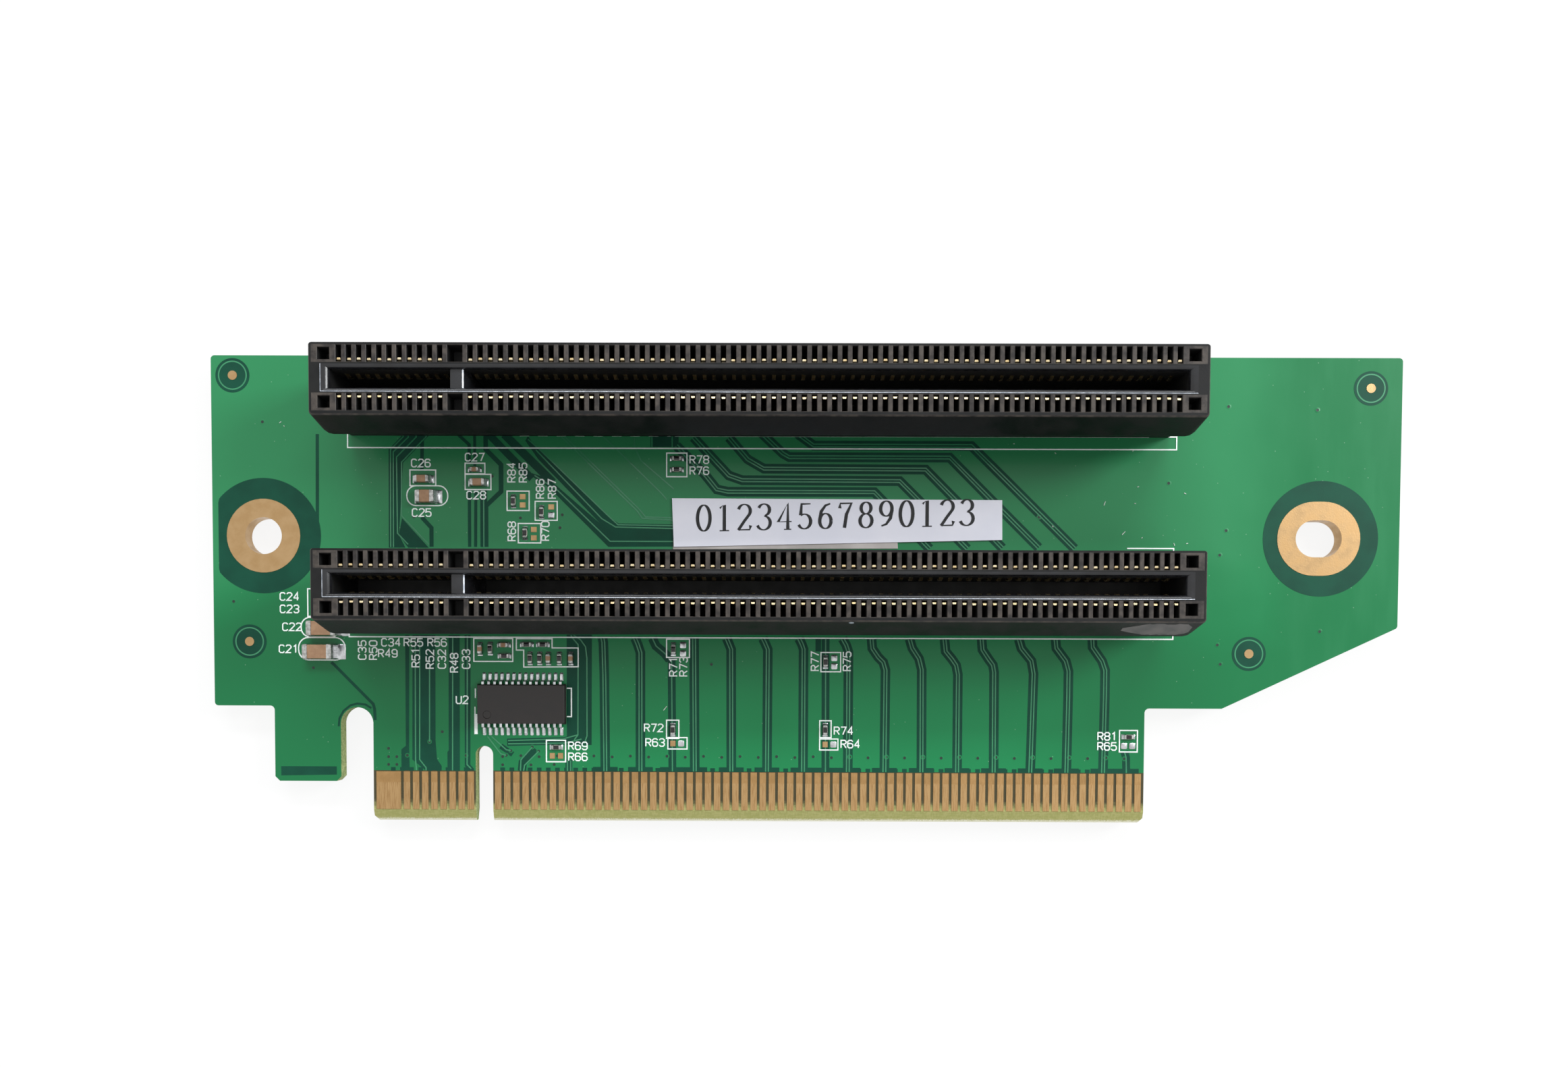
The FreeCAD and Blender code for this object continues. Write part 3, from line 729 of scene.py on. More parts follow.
@dataclass
class SlotConnector:
    """Moulded card slot with its springs and solder joints.

    Sizes are millimetres. What is named half or reach goes from the middle of the card slot,
    drops go down from the top, and the rim is the height where the head starts.
    """

    name: str
    half_base: float = 3.45
    half_head: float = 4.9
    half_top: float = 3.6
    back_reach: float = 3.45
    back_margin: float = 0.1
    undercut: float = 0.9
    rim: float = 7.9
    band: float = 0.3
    slope_top: Plan = (0.08, 0.19)
    slope_foot: Plan = (0.06, 0.14)
    front_corner: float = 1.3
    top_corner: float = 0.3
    back_corner: float = 0.25
    inner_margin: Plan = (0.6, 0.4)
    inner_corner: float = 0.004
    window: Plan = (0.54, 1.65)
    window_offset: float = 2.375
    window_depth: float = 6.5
    lip: float = 0.05
    taper: float = 0.03
    pocket: float = 1.2
    pocket_reach: float = 43.0
    pocket_depth: float = 2.5
    key_pocket: float = 1.5
    card_slot: Plan = (85.1, 1.85)
    card_slot_depth: float = 8.0
    mouth: Plan = (86.6, 2.7)
    mouth_depth: float = 0.6
    mouth_steps: int = 5
    lip_width: float = 0.15
    lip_back: float = 0.02
    lip_levels: Plan = (0.012, -0.055)
    key_bar: float = 1.3
    key_drop: float = 0.5
    key_foot: Plan = (0.42, 1.2)
    key_edge_reach: float = 0.9
    key_overlap: float = 0.06
    spring_width: float = 0.38
    spring_thickness: float = 0.14
    spring_tip: float = 0.8
    spring_shift: float = 0.03
    spring_lean: float = 0.05
    leaning_drop: float = 1.0
    joint_rows: Plan = (1.25, 3.25)
    joint_foot: float = 0.72
    joint_girth: Plan = (0.92, 1.06)
    joint_sides: int = 10
    scar_step: float = 0.3
    scar_rise: float = 0.012
    low: Point = field(init=False)
    high: Point = field(init=False)
    centre: Plan = field(init=False)

    def __post_init__(self) -> None:
        """Read the place of the housing."""
        self.low, self.high = corners(self.name + "_housing")
        self.centre = middle(self.name + "_housing")

    def outline(self, length: float, reach: Plan, radii: Plan, level: float) -> list[Point]:
        """Ring that reaches unequally far to the front and to the back.

        Args:
            length: its length along the slot.
            reach: how far it goes to the front and to the back.
            radii: corner radii at the front and at the back.
            level: its height.

        Returns:
            The corner points, those at the back first.
        """
        front, back = (
            oblong(self.centre, (length, 2 * way), radius, level, SHELL_STEPS)
            for way, radius in zip(reach, radii)
        )
        return back[:BACK_HALF] + front[BACK_HALF:]

    def shell_ring(self, half_width: float, level: float, inset: float = 0.0) -> list[Point]:
        """Outline of the housing at one level: flared to the front, straight at the back.

        Args:
            half_width: reach to the front.
            level: height above the foot.
            inset: how far the two ends draw in.

        Returns:
            The corner points.
        """
        share = max(0.0, (half_width - self.half_top) / (self.half_head - self.half_top))
        radius = self.top_corner + share * (self.front_corner - self.top_corner)
        length = self.high[0] - self.low[0] - 2 * inset
        reach = (half_width, min(half_width, self.back_reach))
        return self.outline(length, reach, (radius, self.back_corner), self.low[2] + level)

    def slope(self) -> tuple[Plan, Plan]:
        """Top and foot of the front slope of the head: half width and height."""
        top = (self.half_top + self.slope_top[0], self.high[2] - self.low[2] - self.slope_top[1])
        return top, (self.half_head - self.slope_foot[0], self.rim + self.band + self.slope_foot[1])

    def openings(self) -> list[Opening]:
        """Windows, end pockets and key pockets in the top.

        Returns:
            The openings of the front row, then those of the back row.
        """
        found = []
        for side in Side:
            row = side.value * self.window_offset
            for pin in range(1, PINS.pins + 1):
                found.append(Opening(PINS.x(pin), row, *self.window, self.window_depth))
            for end in (-1, 1):
                x = end * self.pocket_reach
                found.append(Opening(x, row, self.pocket, self.pocket, self.pocket_depth))
            key = (PINS.key_x(), row, self.key_pocket, self.window[1])
            found.append(Opening(*key, self.pocket_depth))
        return found

    def make_top(self, mesher: Mesher, inner: Plan) -> None:
        """Add the top face between the openings.

        Args:
            mesher: mesh to add to.
            inner: size of the rectangle that the face fills.
        """
        holes = [(-self.mouth[0] / 2, self.mouth[0] / 2, -self.mouth[1] / 2, self.mouth[1] / 2)]
        for hole in self.openings():
            x, y, wide, deep = hole.x, hole.y, hole.width / 2, hole.depth / 2
            across = (x - wide - self.lip, x + wide + self.lip)
            holes.append((*across, y - deep - self.lip, y + deep + self.lip))
        ends = {-inner[1] / 2, self.back_reach - self.back_margin}
        levels = sorted({round(v, 4) for hole in holes for v in hole[2:]} | ends)
        cx, cy = self.centre
        for low, high in zip(levels, levels[1:]):
            mean = (low + high) / 2
            cuts = sorted((h[0], h[1]) for h in holes if h[2] < mean < h[3])
            start = -inner[0] / 2
            ribs = len(cuts) > PINS.pins
            for left, right in cuts + [(inner[0] / 2, inner[0] / 2)]:
                if left > start:
                    row = box_path((start, low), (left, high))
                    tone = Shell.RIB if ribs else Shell.OUTSIDE
                    mesher.face([(cx + x, cy + y, self.high[2]) for x, y in row], tone)
                start = right

    def make_opening(self, mesher: Mesher, hole: Opening) -> None:
        """Add an opening's lip in painted highlight, its walls and floor in painted shade.

        Args:
            mesher: mesh to add to.
            hole: the opening.
        """
        at = (self.centre[0] + hole.x, self.centre[1] + hole.y)
        steps = ((self.lip, 0.0), (0.0, self.lip), (-self.taper, hole.drop))
        rings = []
        for grow, down in steps:
            size = (hole.width + 2 * grow, hole.depth + 2 * grow)
            rings.append(oblong(at, size, 0.0, self.high[2] - down, 0))
        mesher.loft(rings[:2], Shell.RIB)
        # Walls and floor of the opening in painted shade.
        mesher.loft(rings[1:], Shell.INSIDE, end=True)

    def make_card_slot(self, mesher: Mesher) -> None:
        """Add the card slot: rounded mouth, painted lip highlights, painted-shade walls and floor.

        Args:
            mesher: mesh to add to.
        """
        top = self.high[2]
        lead = [(wide - narrow) / 2 for wide, narrow in zip(self.mouth, self.card_slot)]
        rings = []
        for step in range(self.mouth_steps + 1):
            angle = step * math.pi / (2 * self.mouth_steps)
            grow = 1 - math.sin(angle)
            size = (self.card_slot[0] + 2 * lead[0] * grow, self.card_slot[1] + 2 * lead[1] * grow)
            level = top - self.mouth_depth * (1 - math.cos(angle))
            rings.append(oblong(self.centre, size, 0.0, level, 0))
        mesher.loft(rings, Shell.MOUTH)
        self.make_lip_highlights(mesher)
        # Walls and floor of the card slot in painted shade.
        floor = oblong(self.centre, self.card_slot, 0.0, top - self.card_slot_depth, 0)
        mesher.loft([rings[-1], floor], Shell.INSIDE, end=True)

    def make_key_bar(self, mesher: Mesher) -> None:
        """Add the key bar across the card slot, with a painted highlight on its edge.

        Args:
            mesher: mesh to add to.
        """
        top, cy, drop = self.high[2], self.centre[1], self.key_drop
        half = self.key_bar / 2
        bar_x = self.centre[0] + PINS.key_x()
        foot = half + self.key_foot[0]
        section = [
            (-half, self.card_slot_depth), (foot, self.card_slot_depth),
            (foot, drop + self.key_foot[1]), (half, drop + 0.22), (half - 0.06, drop + 0.07),
            (half - 0.2, drop), (0.2 - half, drop), (0.06 - half, drop + 0.07),
            (-half, drop + 0.25),
        ]
        edge = ((bar_x + half - 0.04, top - drop + 0.03), (bar_x + half + 0.09, top - drop - 0.05))
        spots = ((0, -1), (1, -1), (1, 1), (0, 1))
        reach = self.key_edge_reach
        # Facet along the bar's edge: painted highlight.
        mesher.face([(edge[i][0], cy + way * reach, edge[i][1]) for i, way in spots], Shell.LIP)
        reach = self.card_slot[1] / 2 + self.key_overlap
        rings = [[(bar_x + x, cy + side * reach, top - z) for x, z in section] for side in (1, -1)]
        mesher.loft(rings, Shell.MOUTH, start=True, end=True)

    def make_lip_highlights(self, mesher: Mesher) -> None:
        """Add painted-highlight facets along the card slot's front lip and at its left end.

        Args:
            mesher: mesh to add to.
        """
        left, front = self.centre[0] - self.mouth[0] / 2, self.centre[1] - self.mouth[1] / 2
        right, back = self.centre[0] + self.mouth[0] / 2, self.centre[1] + self.mouth[1] / 2
        high, low = (self.high[2] + level for level in self.lip_levels)
        mesher.face([
            (left, front - self.lip_back, high), (right, front - self.lip_back, high),
            (right, front + self.lip_width, low), (left, front + self.lip_width, low),
        ], Shell.LIP)
        mesher.face([
            (left - self.lip_back, front, high), (left + self.lip_width, front, low),
            (left + self.lip_width, back, low), (left - self.lip_back, back, high),
        ], Shell.LIP)

    def make_scars(self, mesher: Mesher) -> None:
        """Add rubbed patches and painted-highlight chips with ragged outlines on the front slope.

        Args:
            mesher: mesh to add to.
        """
        top, foot = self.slope()
        chance = random.Random(self.name + "scars")
        for scar in SCARS.get(self.name, ()):
            steps = max(3, round(scar.length / self.scar_step))
            mean, reach = (scar.first + scar.last) / 2, (scar.last - scar.first) / 2
            columns = []
            for step in range(steps + 1):
                along = step / steps
                spread = min(1.0, 0.25 + along * 2.2, 0.5 + (1 - along) * 5)
                column = []
                for way in (1, -1):
                    share = mean + way * reach * spread * chance.uniform(0.86, 1.0)
                    out = top[0] + (foot[0] - top[0]) * share + self.scar_rise
                    up = top[1] + (foot[1] - top[1]) * share
                    spot = self.centre[0] + scar.place + (along - 0.5) * scar.length
                    column.append((spot, self.centre[1] - out, self.low[2] + up))
                columns.append(column)
            for left, right in zip(columns, columns[1:]):
                mesher.face([left[0], right[0], right[1], left[1]], scar.tone)

    def make_housing(self) -> None:
        """Make the moulded housing with its windows, pockets, slot and rounded edges."""
        mesher = Mesher()
        height = self.high[2] - self.low[2]
        top, foot = self.slope()
        profile = [
            (self.half_base, 0.0, 0.0), (self.half_base, self.rim - self.undercut, 0.0),
            (self.half_head - 0.08, self.rim - 0.05, 0.0), (self.half_head, self.rim + 0.03, 0.0),
            (self.half_head, self.rim + self.band - 0.05, 0.0), (*foot, 0.0), (*top, 0.0),
            (self.half_top + 0.02, height - 0.07, 0.02), (self.half_top - 0.08, height, 0.1),
        ]
        rings = [self.shell_ring(width, level, inset) for width, level, inset in profile]
        size = (self.high[0] - self.low[0], 2 * self.half_top)
        inner = (size[0] - self.inner_margin[0], size[1] - self.inner_margin[1])
        reach = (inner[1] / 2, self.back_reach - self.back_margin)
        radii = (self.inner_corner, self.inner_corner)
        mesher.loft(rings[:-2], start=True)
        # Rounded top edge in the rib tone: painted highlight.
        mesher.loft(rings[-3:], Shell.RIB)
        mesher.loft([rings[-1], self.outline(inner[0], reach, radii, self.high[2])])
        self.make_top(mesher, inner)
        for hole in self.openings():
            self.make_opening(mesher, hole)
        self.make_card_slot(mesher)
        self.make_key_bar(mesher)
        self.make_scars(mesher)
        housing = self.name + "_housing"
        mesher.build(self.name + "_moulded_housing", SHELL_FINISHES, housing)

    def make_springs(self, side: Side) -> None:
        """Make one row of springs, each bent into the card slot and out again to its tip.

        Args:
            side: the row.
        """
        mesher = Mesher()
        chance = random.Random(self.name + side.name)
        last = len(SPRING_LINE) - 1
        for pin in range(1, PINS.pins + 1):
            shift = chance.uniform(-self.spring_shift, self.spring_shift)
            lean = chance.uniform(-self.spring_lean, self.spring_lean)
            x = self.centre[0] + PINS.x(pin) + shift
            rings = []
            for i, (out, level) in enumerate(SPRING_LINE):
                run = heading(SPRING_LINE, i)
                across = Vector((run.y, -run.x)) * self.spring_thickness / 2
                half = self.spring_width / 2 * (self.spring_tip if i == last else 1.0)
                ring = []
                for way, turn in STRIP_CORNERS:
                    y = out + lean * (-level < self.leaning_drop) + turn * across.x
                    spot = (x + way * half * side.value, self.centre[1] + side.value * y)
                    ring.append((*spot, self.high[2] + level + turn * across.y))
                rings.append(ring)
            mesher.loft(rings, start=True, end=True)
        word = side.name.lower()
        node = f"{self.name}_springs_{word}"
        piece = f"{self.name}_spring_strips_{word}"
        mesher.build(piece, [SPRING_METAL], node, crease=30)

    def make_joints(self) -> None:
        """Make the solder cones under the board, each with the end of a spring leg in it."""
        mesher = Mesher()
        chance = random.Random(self.name)
        for pin in range(1, PINS.pins + 1):
            row = self.joint_rows[0] if pin % 2 else self.joint_rows[1]
            for side in Side:
                at = (self.centre[0] + PINS.x(pin), self.centre[1] + side.value * row)
                girth = chance.uniform(*self.joint_girth)
                cone = [(radius * girth, level) for radius, level in JOINT_CONE]
                profile = [*JOINT_LEG, *cone, (self.joint_foot, BOARD_BOTTOM)]
                rings = [ring_of(at, radius, level, self.joint_sides) for radius, level in profile]
                mesher.loft(rings, start=True)
        node = self.name + "_solder_joints"
        mesher.build(self.name + "_solder_cones", [SOLDER], node, crease=50)

    def dress(self) -> None:
        """Make all pieces of the connector."""
        self.make_housing()
        for side in Side:
            self.make_springs(side)
        self.make_joints()




# ---- circuit board ----

@dataclass(frozen=True)
class MaskFinish(Finish):
    """Green mask on the faces, glass cloth on the edges, and a bare tongue end.

    Attributes:
        bare_height: top of the bare tongue end above the contact edge, in millimetres.
        bare_left: left end of the bare tongue, from the middle of the contacts.
        strip_height: top of the open strip below the contacts, in millimetres.
        deep: darker green painted as shade at the right end and towards the two lower corners.
        sheen_veil: tone of the painted sheen over the upper part.
        reflection_haze: tone of the painted reflection streaks at the right end.
        dust: tone of the specks.
    """

    bare_height: float = 5.5
    bare_left: float = -44.2
    strip_height: float = 1.4
    deep: Colour = srgb(10, 104, 58)
    sheen_veil: Colour = srgb(190, 200, 196)
    reflection_haze: Colour = srgb(92, 172, 126)
    dust: Colour = srgb(176, 206, 182)

    def mask_tone(self, graph: Graph, x: Socket, above: Socket, patches: Socket) -> Socket:
        """Green of the mask with patches and specks, and painted shade, sheen and reflections.

        Args:
            graph: node tree of the material.
            x: place along the card, in millimetres.
            above: height above the contact edge, in millimetres.
            patches: cloudy noise from 0 to 1.

        Returns:
            The colour.
        """
        broad = graph.fade(graph.noise(14.0, 2.0), 0.3, 0.7)
        tone = graph.mix(broad * 0.6 + patches * 0.4, self.tone, self.cloud)
        # Painted shade towards the two lower corners.
        low = graph.fade(above + broad * 4, 34.0, 20.0) * graph.fade(abs(x), 22.0, 44.0)
        # Painted shade at the right end.
        end = graph.fade(x + broad * 3, 47.0, 56.0)
        tone = graph.mix(graph.math_max(low, end) * 0.9, tone, self.deep)
        # Painted sheen over the upper part.
        upper = graph.fade(above + broad * 4, 24.0, 34.0) * (1 - end)
        tone = graph.mix(upper * 0.03, tone, self.sheen_veil)
        tone = graph.mix(graph.specks(1.1, 0.05) * 0.3, tone, self.dust)
        # Painted reflection streaks at the right end.
        streaks = graph.fade(graph.noise(2.4, 3.0, (1.0, 5.0, 1.0)), 0.35, 0.75)
        return graph.mix(graph.fade(x, 44.0, 60.0) * streaks * 0.07, tone, self.reflection_haze)

    def bare_tone(self, graph: Graph, above: Socket, cloth: Socket) -> Socket:
        """Colour of the bare tongue: painted shade between the contacts, pale and frayed at its
        end.

        Args:
            graph: node tree of the material.
            above: height above the contact edge, in millimetres.
            cloth: weave of the glass cloth from 0 to 1.

        Returns:
            The colour.
        """
        bare = graph.mix(graph.fade(cloth, 0.4, 0.62), srgb(146, 146, 88), srgb(158, 156, 100))
        # Painted shade between the contacts, above the open strip.
        level = above + graph.noise(0.3) * 0.9
        shaded = graph.fade(level, self.strip_height + 0.2, self.strip_height + 1.5)
        tone = graph.mix(shaded, bare, srgb(62, 58, 38))
        fuzz = graph.fade(above + graph.noise(0.12) * 0.5, 0.62, 0.3)
        return graph.mix(fuzz, tone, srgb(206, 204, 184))

    def dress(self, graph: Graph) -> None:
        """Lay the nodes of this finish.

        Args:
            graph: node tree of the material.
        """
        place_x, place_y, _ = graph.axes(graph.place())
        x = place_x * (1 / MM)
        above = (place_y - EDGE_Y * MM) * (1 / MM)
        facing = graph.axes(graph.node("ShaderNodeNewGeometry", {}, {}, "Normal"))[2]
        flat = abs(facing) > 0.75
        tongue = (above < self.bare_height) * (place_x > (ARRAY_X + self.bare_left) * MM)
        patches = graph.fade(graph.noise(self.cloud_size, 5.0), 0.2, 0.8)
        across = graph.noise(0.16, 1.0, (1.0, 5.0, 1.0))
        cloth = across * 0.5 + graph.noise(0.16, 1.0, (5.0, 1.0, 1.0)) * 0.5
        edge = graph.mix(graph.fade(cloth, 0.42, 0.58), srgb(120, 134, 84), srgb(164, 172, 118))
        mask = self.mask_tone(graph, x, above, patches)
        face = graph.mix(tongue, mask, self.bare_tone(graph, above, cloth))
        relief = graph.bump(graph.noise(self.relief_size, 2.0), self.relief)
        bare_share = graph.math_max(tongue, 1 - flat)
        gloss = self.roughness + (patches - 0.5) * self.spread
        graph.surface(
            Base_Color=graph.mix(flat, edge, face),
            Roughness=graph.level(bare_share, gloss, 0.75),
            Coat_Weight=graph.level(bare_share, self.coat, 0.0),
            Specular_IOR_Level=self.shine,
            Normal=graph.blend(bare_share, relief, graph.bump(cloth, 0.02)),
        )


@dataclass(frozen=True)
class ContactFinish(Finish):
    """Gilt contact with scratches along it and a rubbed lower part.

    Attributes:
        wear_height: top of the rubbed part above the contact edge, in millimetres.
        bright: tone of the rubbed part.
        scratch: tone of the scratches in it.
    """

    wear_height: float = 4.2
    bright: Colour = srgb(184, 152, 108)
    scratch: Colour = srgb(150, 118, 78)

    def dress(self, graph: Graph) -> None:
        """Lay the nodes of this finish.

        Args:
            graph: node tree of the material.
        """
        _, y, _ = graph.axes(graph.place())
        above = (y - EDGE_Y * MM) * (1 / MM)
        lines = graph.fade(graph.noise(0.07, 3.0, (1.0, 22.0, 1.0)), 0.42, 0.66)
        patches = graph.fade(graph.noise(self.cloud_size, 4.0), 0.3, 0.7)
        ragged = above + graph.noise(0.5, 1.0, (1.0, 0.3, 1.0)) * 0.12
        rubbed = graph.fade(ragged, self.wear_height + 0.1, self.wear_height)
        base = graph.mix(patches, self.tone, self.cloud)
        worn = graph.mix(lines, self.bright, self.scratch)
        graph.surface(
            Base_Color=graph.mix(rubbed * 0.75, base, worn),
            Roughness=self.roughness + rubbed * 0.08 + lines * 0.1,
            Metallic=self.metallic,
            Normal=graph.bump(lines, 0.006),
        )


BOARD_MASK = MaskFinish(
    "green_mask", srgb(12, 119, 67), srgb(16, 123, 71), cloud_size=6.0, roughness=0.3, spread=0.03,
    relief=0.002, relief_size=0.5, coat=0.05, shine=0.3,
)
CONTACT_GILT = ContactFinish(
    "gilt_contact", srgb(176, 140, 94), srgb(162, 128, 84), cloud_size=1.4, roughness=0.36,
    metallic=1.0,
)


def finish_node(node: str, finish: Finish) -> None:
    """Give a carried-over node its finish.

    Args:
        node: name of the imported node.
        finish: its finish.
    """
    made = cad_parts[node]
    made.data.materials.clear()
    made.data.materials.append(finish.material())
    LOG.info("%s: carried over in %s", node, finish.name)


# ---- print on the board ----
# Print is placed from the middle of the edge contacts along X and from the contact edge along Y.

PAIRS_BELOW: list[Path] = [
    [(-17.05, 20.05), (-16.95, 19.55), (-16.85, 16.0), (-16.75, 5.5)],
    [(-13.5, 20.05), (-13.2, 19.35), (-12.9, 18.45), (-12.9, 5.5)],
    [(-7.05, 20.05), (-6.95, 5.5)],
    [(-3.5, 20.05), (-3.2, 19.35), (-3.0, 18.85), (-2.95, 5.5)],
    [(0.45, 20.05), (0.7, 19.55), (1.0, 18.85), (0.95, 5.5)],
    [(4.4, 20.05), (4.7, 19.45), (4.9, 18.9), (4.9, 5.5)],
    [(9.15, 20.05), (9.55, 19.35), (9.8, 18.6), (9.8, 5.5)],
    [(12.3, 20.05), (12.4, 19.0), (13.05, 18.05), (13.6, 17.5), (13.85, 16.65), (13.8, 5.5)],
    [(16.45, 20.05), (16.75, 19.05), (17.5, 17.9), (17.8, 16.7), (17.85, 5.5)],
    [(20.25, 20.05), (20.4, 18.7), (21.1, 17.85), (21.55, 17.2), (21.75, 16.2), (21.75, 5.5)],
    [(24.3, 20.05), (24.4, 18.9), (25.1, 17.85), (25.55, 17.25), (25.7, 16.45), (25.75, 5.5)],
    [(28.35, 20.05), (28.65, 19.05), (29.75, 17.7), (30.0, 16.3), (29.75, 5.5)],
    [(32.35, 20.05), (32.45, 19.1), (33.5, 17.7), (33.8, 16.6), (33.8, 13.85), (33.7, 5.5)],
    [(36.35, 20.05), (36.4, 19.2), (37.45, 17.7), (37.8, 16.7), (37.8, 13.85), (37.7, 5.5)],
]
SINGLES_BELOW: list[Path] = [
    [(-11.6, 20.05), (-11.2, 19.2), (-10.25, 18.4), (-9.5, 17.6), (-9.4, 5.5)],
    [(7.3, 20.05), (7.35, 5.5)],
    [(40.0, 7.85), (40.2, 7.2), (40.25, 5.5)],
]
LINES_BY_CHIP: list[Path] = [
    [(-20.5, 20.35), (-20.2, 19.9), (-19.7, 19.3), (-19.75, 9.45), (-20.15, 8.9)],
    [(-20.2, 20.35), (-19.45, 19.85), (-18.9, 19.1), (-18.75, 17.85), (-18.75, 9.35),
     (-19.05, 8.5)],
    [(-20.9, 6.65), (-20.9, 5.5)],
    [(-20.55, 6.65), (-20.55, 5.5)],
    [(-29.2, 9.25), (-27.6, 7.8), (-27.1, 7.7)],
    [(-29.65, 9.25), (-28.2, 7.35), (-27.6, 7.2)],
    [(-27.4, 8.8), (-21.4, 9.0), (-19.8, 9.45)],
    [(-27.4, 8.45), (-21.1, 8.55), (-19.35, 9.0)],
    [(-24.75, 8.1), (-26.0, 6.7), (-26.05, 5.5)],
    [(-24.05, 7.65), (-25.6, 6.1), (-25.7, 5.5)],
]
LINES_AT_LEFT: list[Path] = [
    [(-37.5, 20.2), (-37.55, 6.7), (-37.45, 5.5)],
    [(-37.0, 20.2), (-37.1, 6.7), (-36.4, 5.8), (-36.4, 5.5)],
    [(-35.95, 16.6), (-36.0, 8.65)],
    [(-33.4, 20.2), (-33.5, 5.5)],
    [(-31.8, 20.25), (-31.9, 6.15), (-31.45, 5.7)],
]
LINES_BETWEEN: list[Path] = [
    [(-38.65, 42.2), (-38.65, 41.8), (-40.05, 40.4), (-40.1, 29.85)],
    [(-38.1, 42.2), (-38.1, 41.75), (-39.75, 40.15), (-39.8, 29.85)],
    [(-37.25, 42.2), (-37.25, 41.75), (-39.4, 39.6), (-39.35, 31.35), (-38.2, 30.15)],
    [(-36.15, 42.2), (-36.15, 41.8), (-38.85, 39.05), (-38.9, 33.25), (-35.95, 30.15)],
    [(-29.95, 36.15), (-29.95, 29.9)],
    [(-24.4, 37.65), (-21.9, 36.05), (-16.2, 30.55), (-9.2, 30.55)],
    [(-25.1, 41.55), (-23.8, 40.4), (-16.5, 33.4), (-15.35, 32.35), (-9.2, 32.25)],
    [(-24.25, 40.4), (-17.1, 33.0), (-15.6, 32.1), (-9.2, 31.95)],
    [(-21.6, 41.95), (-13.3, 33.9), (-12.7, 33.05), (-9.2, 32.85)],
    [(-21.2, 41.95), (-12.95, 33.95), (-12.35, 33.2), (-9.2, 33.1)],
    [(-17.05, 41.95), (-15.75, 40.75), (-10.65, 35.8), (-10.05, 35.1)],
    [(-13.55, 41.75), (-13.55, 40.75), (-12.85, 39.3), (-9.3, 36.25)],
    [(-11.65, 41.9), (-11.65, 40.75)],
    [(-9.45, 41.9), (-9.45, 40.75)],
]
PAIRS_BETWEEN: list[Path] = [
    [(4.15, 42.2), (5.9, 40.95), (23.0, 40.95), (26.75, 37.3), (34.3, 29.9)],
    [(0.3, 42.2), (2.55, 40.1), (3.25, 39.7), (20.65, 39.7), (25.0, 35.35), (30.4, 30.0)],
    [(-3.3, 41.8), (-1.25, 39.45), (0.5, 38.45), (18.05, 38.4), (23.3, 33.15), (26.45, 29.95)],
    [(-7.15, 41.8), (-4.8, 39.3), (-3.3, 37.7), (-1.85, 37.2), (15.25, 37.15), (22.65, 29.85)],
    [(-9.0, 40.9), (-5.9, 37.8), (-4.6, 36.2), (-3.4, 35.95), (12.5, 35.95), (18.55, 29.85)],
]
# Width and path of the other dark bands.
BANDS: list[tuple[float, Path]] = [
    (1.0, [(-11.6, 20.05), (-11.2, 19.2), (-10.25, 18.4), (-9.7, 17.7)]),
    (0.6, [(6.5, 20.05), (6.5, 18.65)]),
    (0.35, [(-48.0, 42.05), (-48.1, 30.0)]),
    (0.45, [(-36.7, 33.1), (-35.65, 31.95), (-35.65, 29.9)]),
    (0.4, [(-36.6, 42.1), (-36.65, 38.2)]),
    (0.36, [(-31.5, 36.15), (-31.5, 29.9)]),
    (0.34, [(-30.8, 36.15), (-30.85, 29.9)]),
    (0.75, [(-29.95, 36.2), (-29.95, 29.9)]),
    (0.35, [(-32.55, 42.1), (-32.55, 41.9), (-31.5, 40.95), (-31.5, 38.95)]),
    (0.3, [(-30.9, 42.1), (-30.9, 38.65)]),
    (
        0.5,
        [(-29.7, 42.1), (-29.7, 40.45), (-28.05, 38.8), (-28.05, 35.9), (-29.7, 34.35),
         (-29.7, 29.9)],
    ),
    (0.8, [(-29.4, 42.1), (-24.7, 37.3)]),
    (0.9, [(-27.7, 42.1), (-22.4, 36.9)]),
    (0.32, [(-46.7, 17.3), (-46.4, 17.05), (-42.15, 12.75), (-42.0, 12.2), (-41.95, 11.0)]),
    (
        0.22,
        [(-45.95, 10.3), (-45.85, 11.2), (-45.4, 12.0), (-44.65, 12.6), (-43.9, 12.8),
         (-43.0, 12.7), (-42.35, 12.3)],
    ),
    (0.6, [(-28.2, 8.2), (-26.9, 7.3)]),
    (0.9, [(-24.4, 7.9), (-25.8, 6.4), (-25.9, 5.5)]),
    (0.8, [(-27.5, 8.62), (-21.3, 8.78), (-19.6, 9.22)]),
    (0.75, [(-20.75, 6.75), (-20.75, 5.5)]),
]
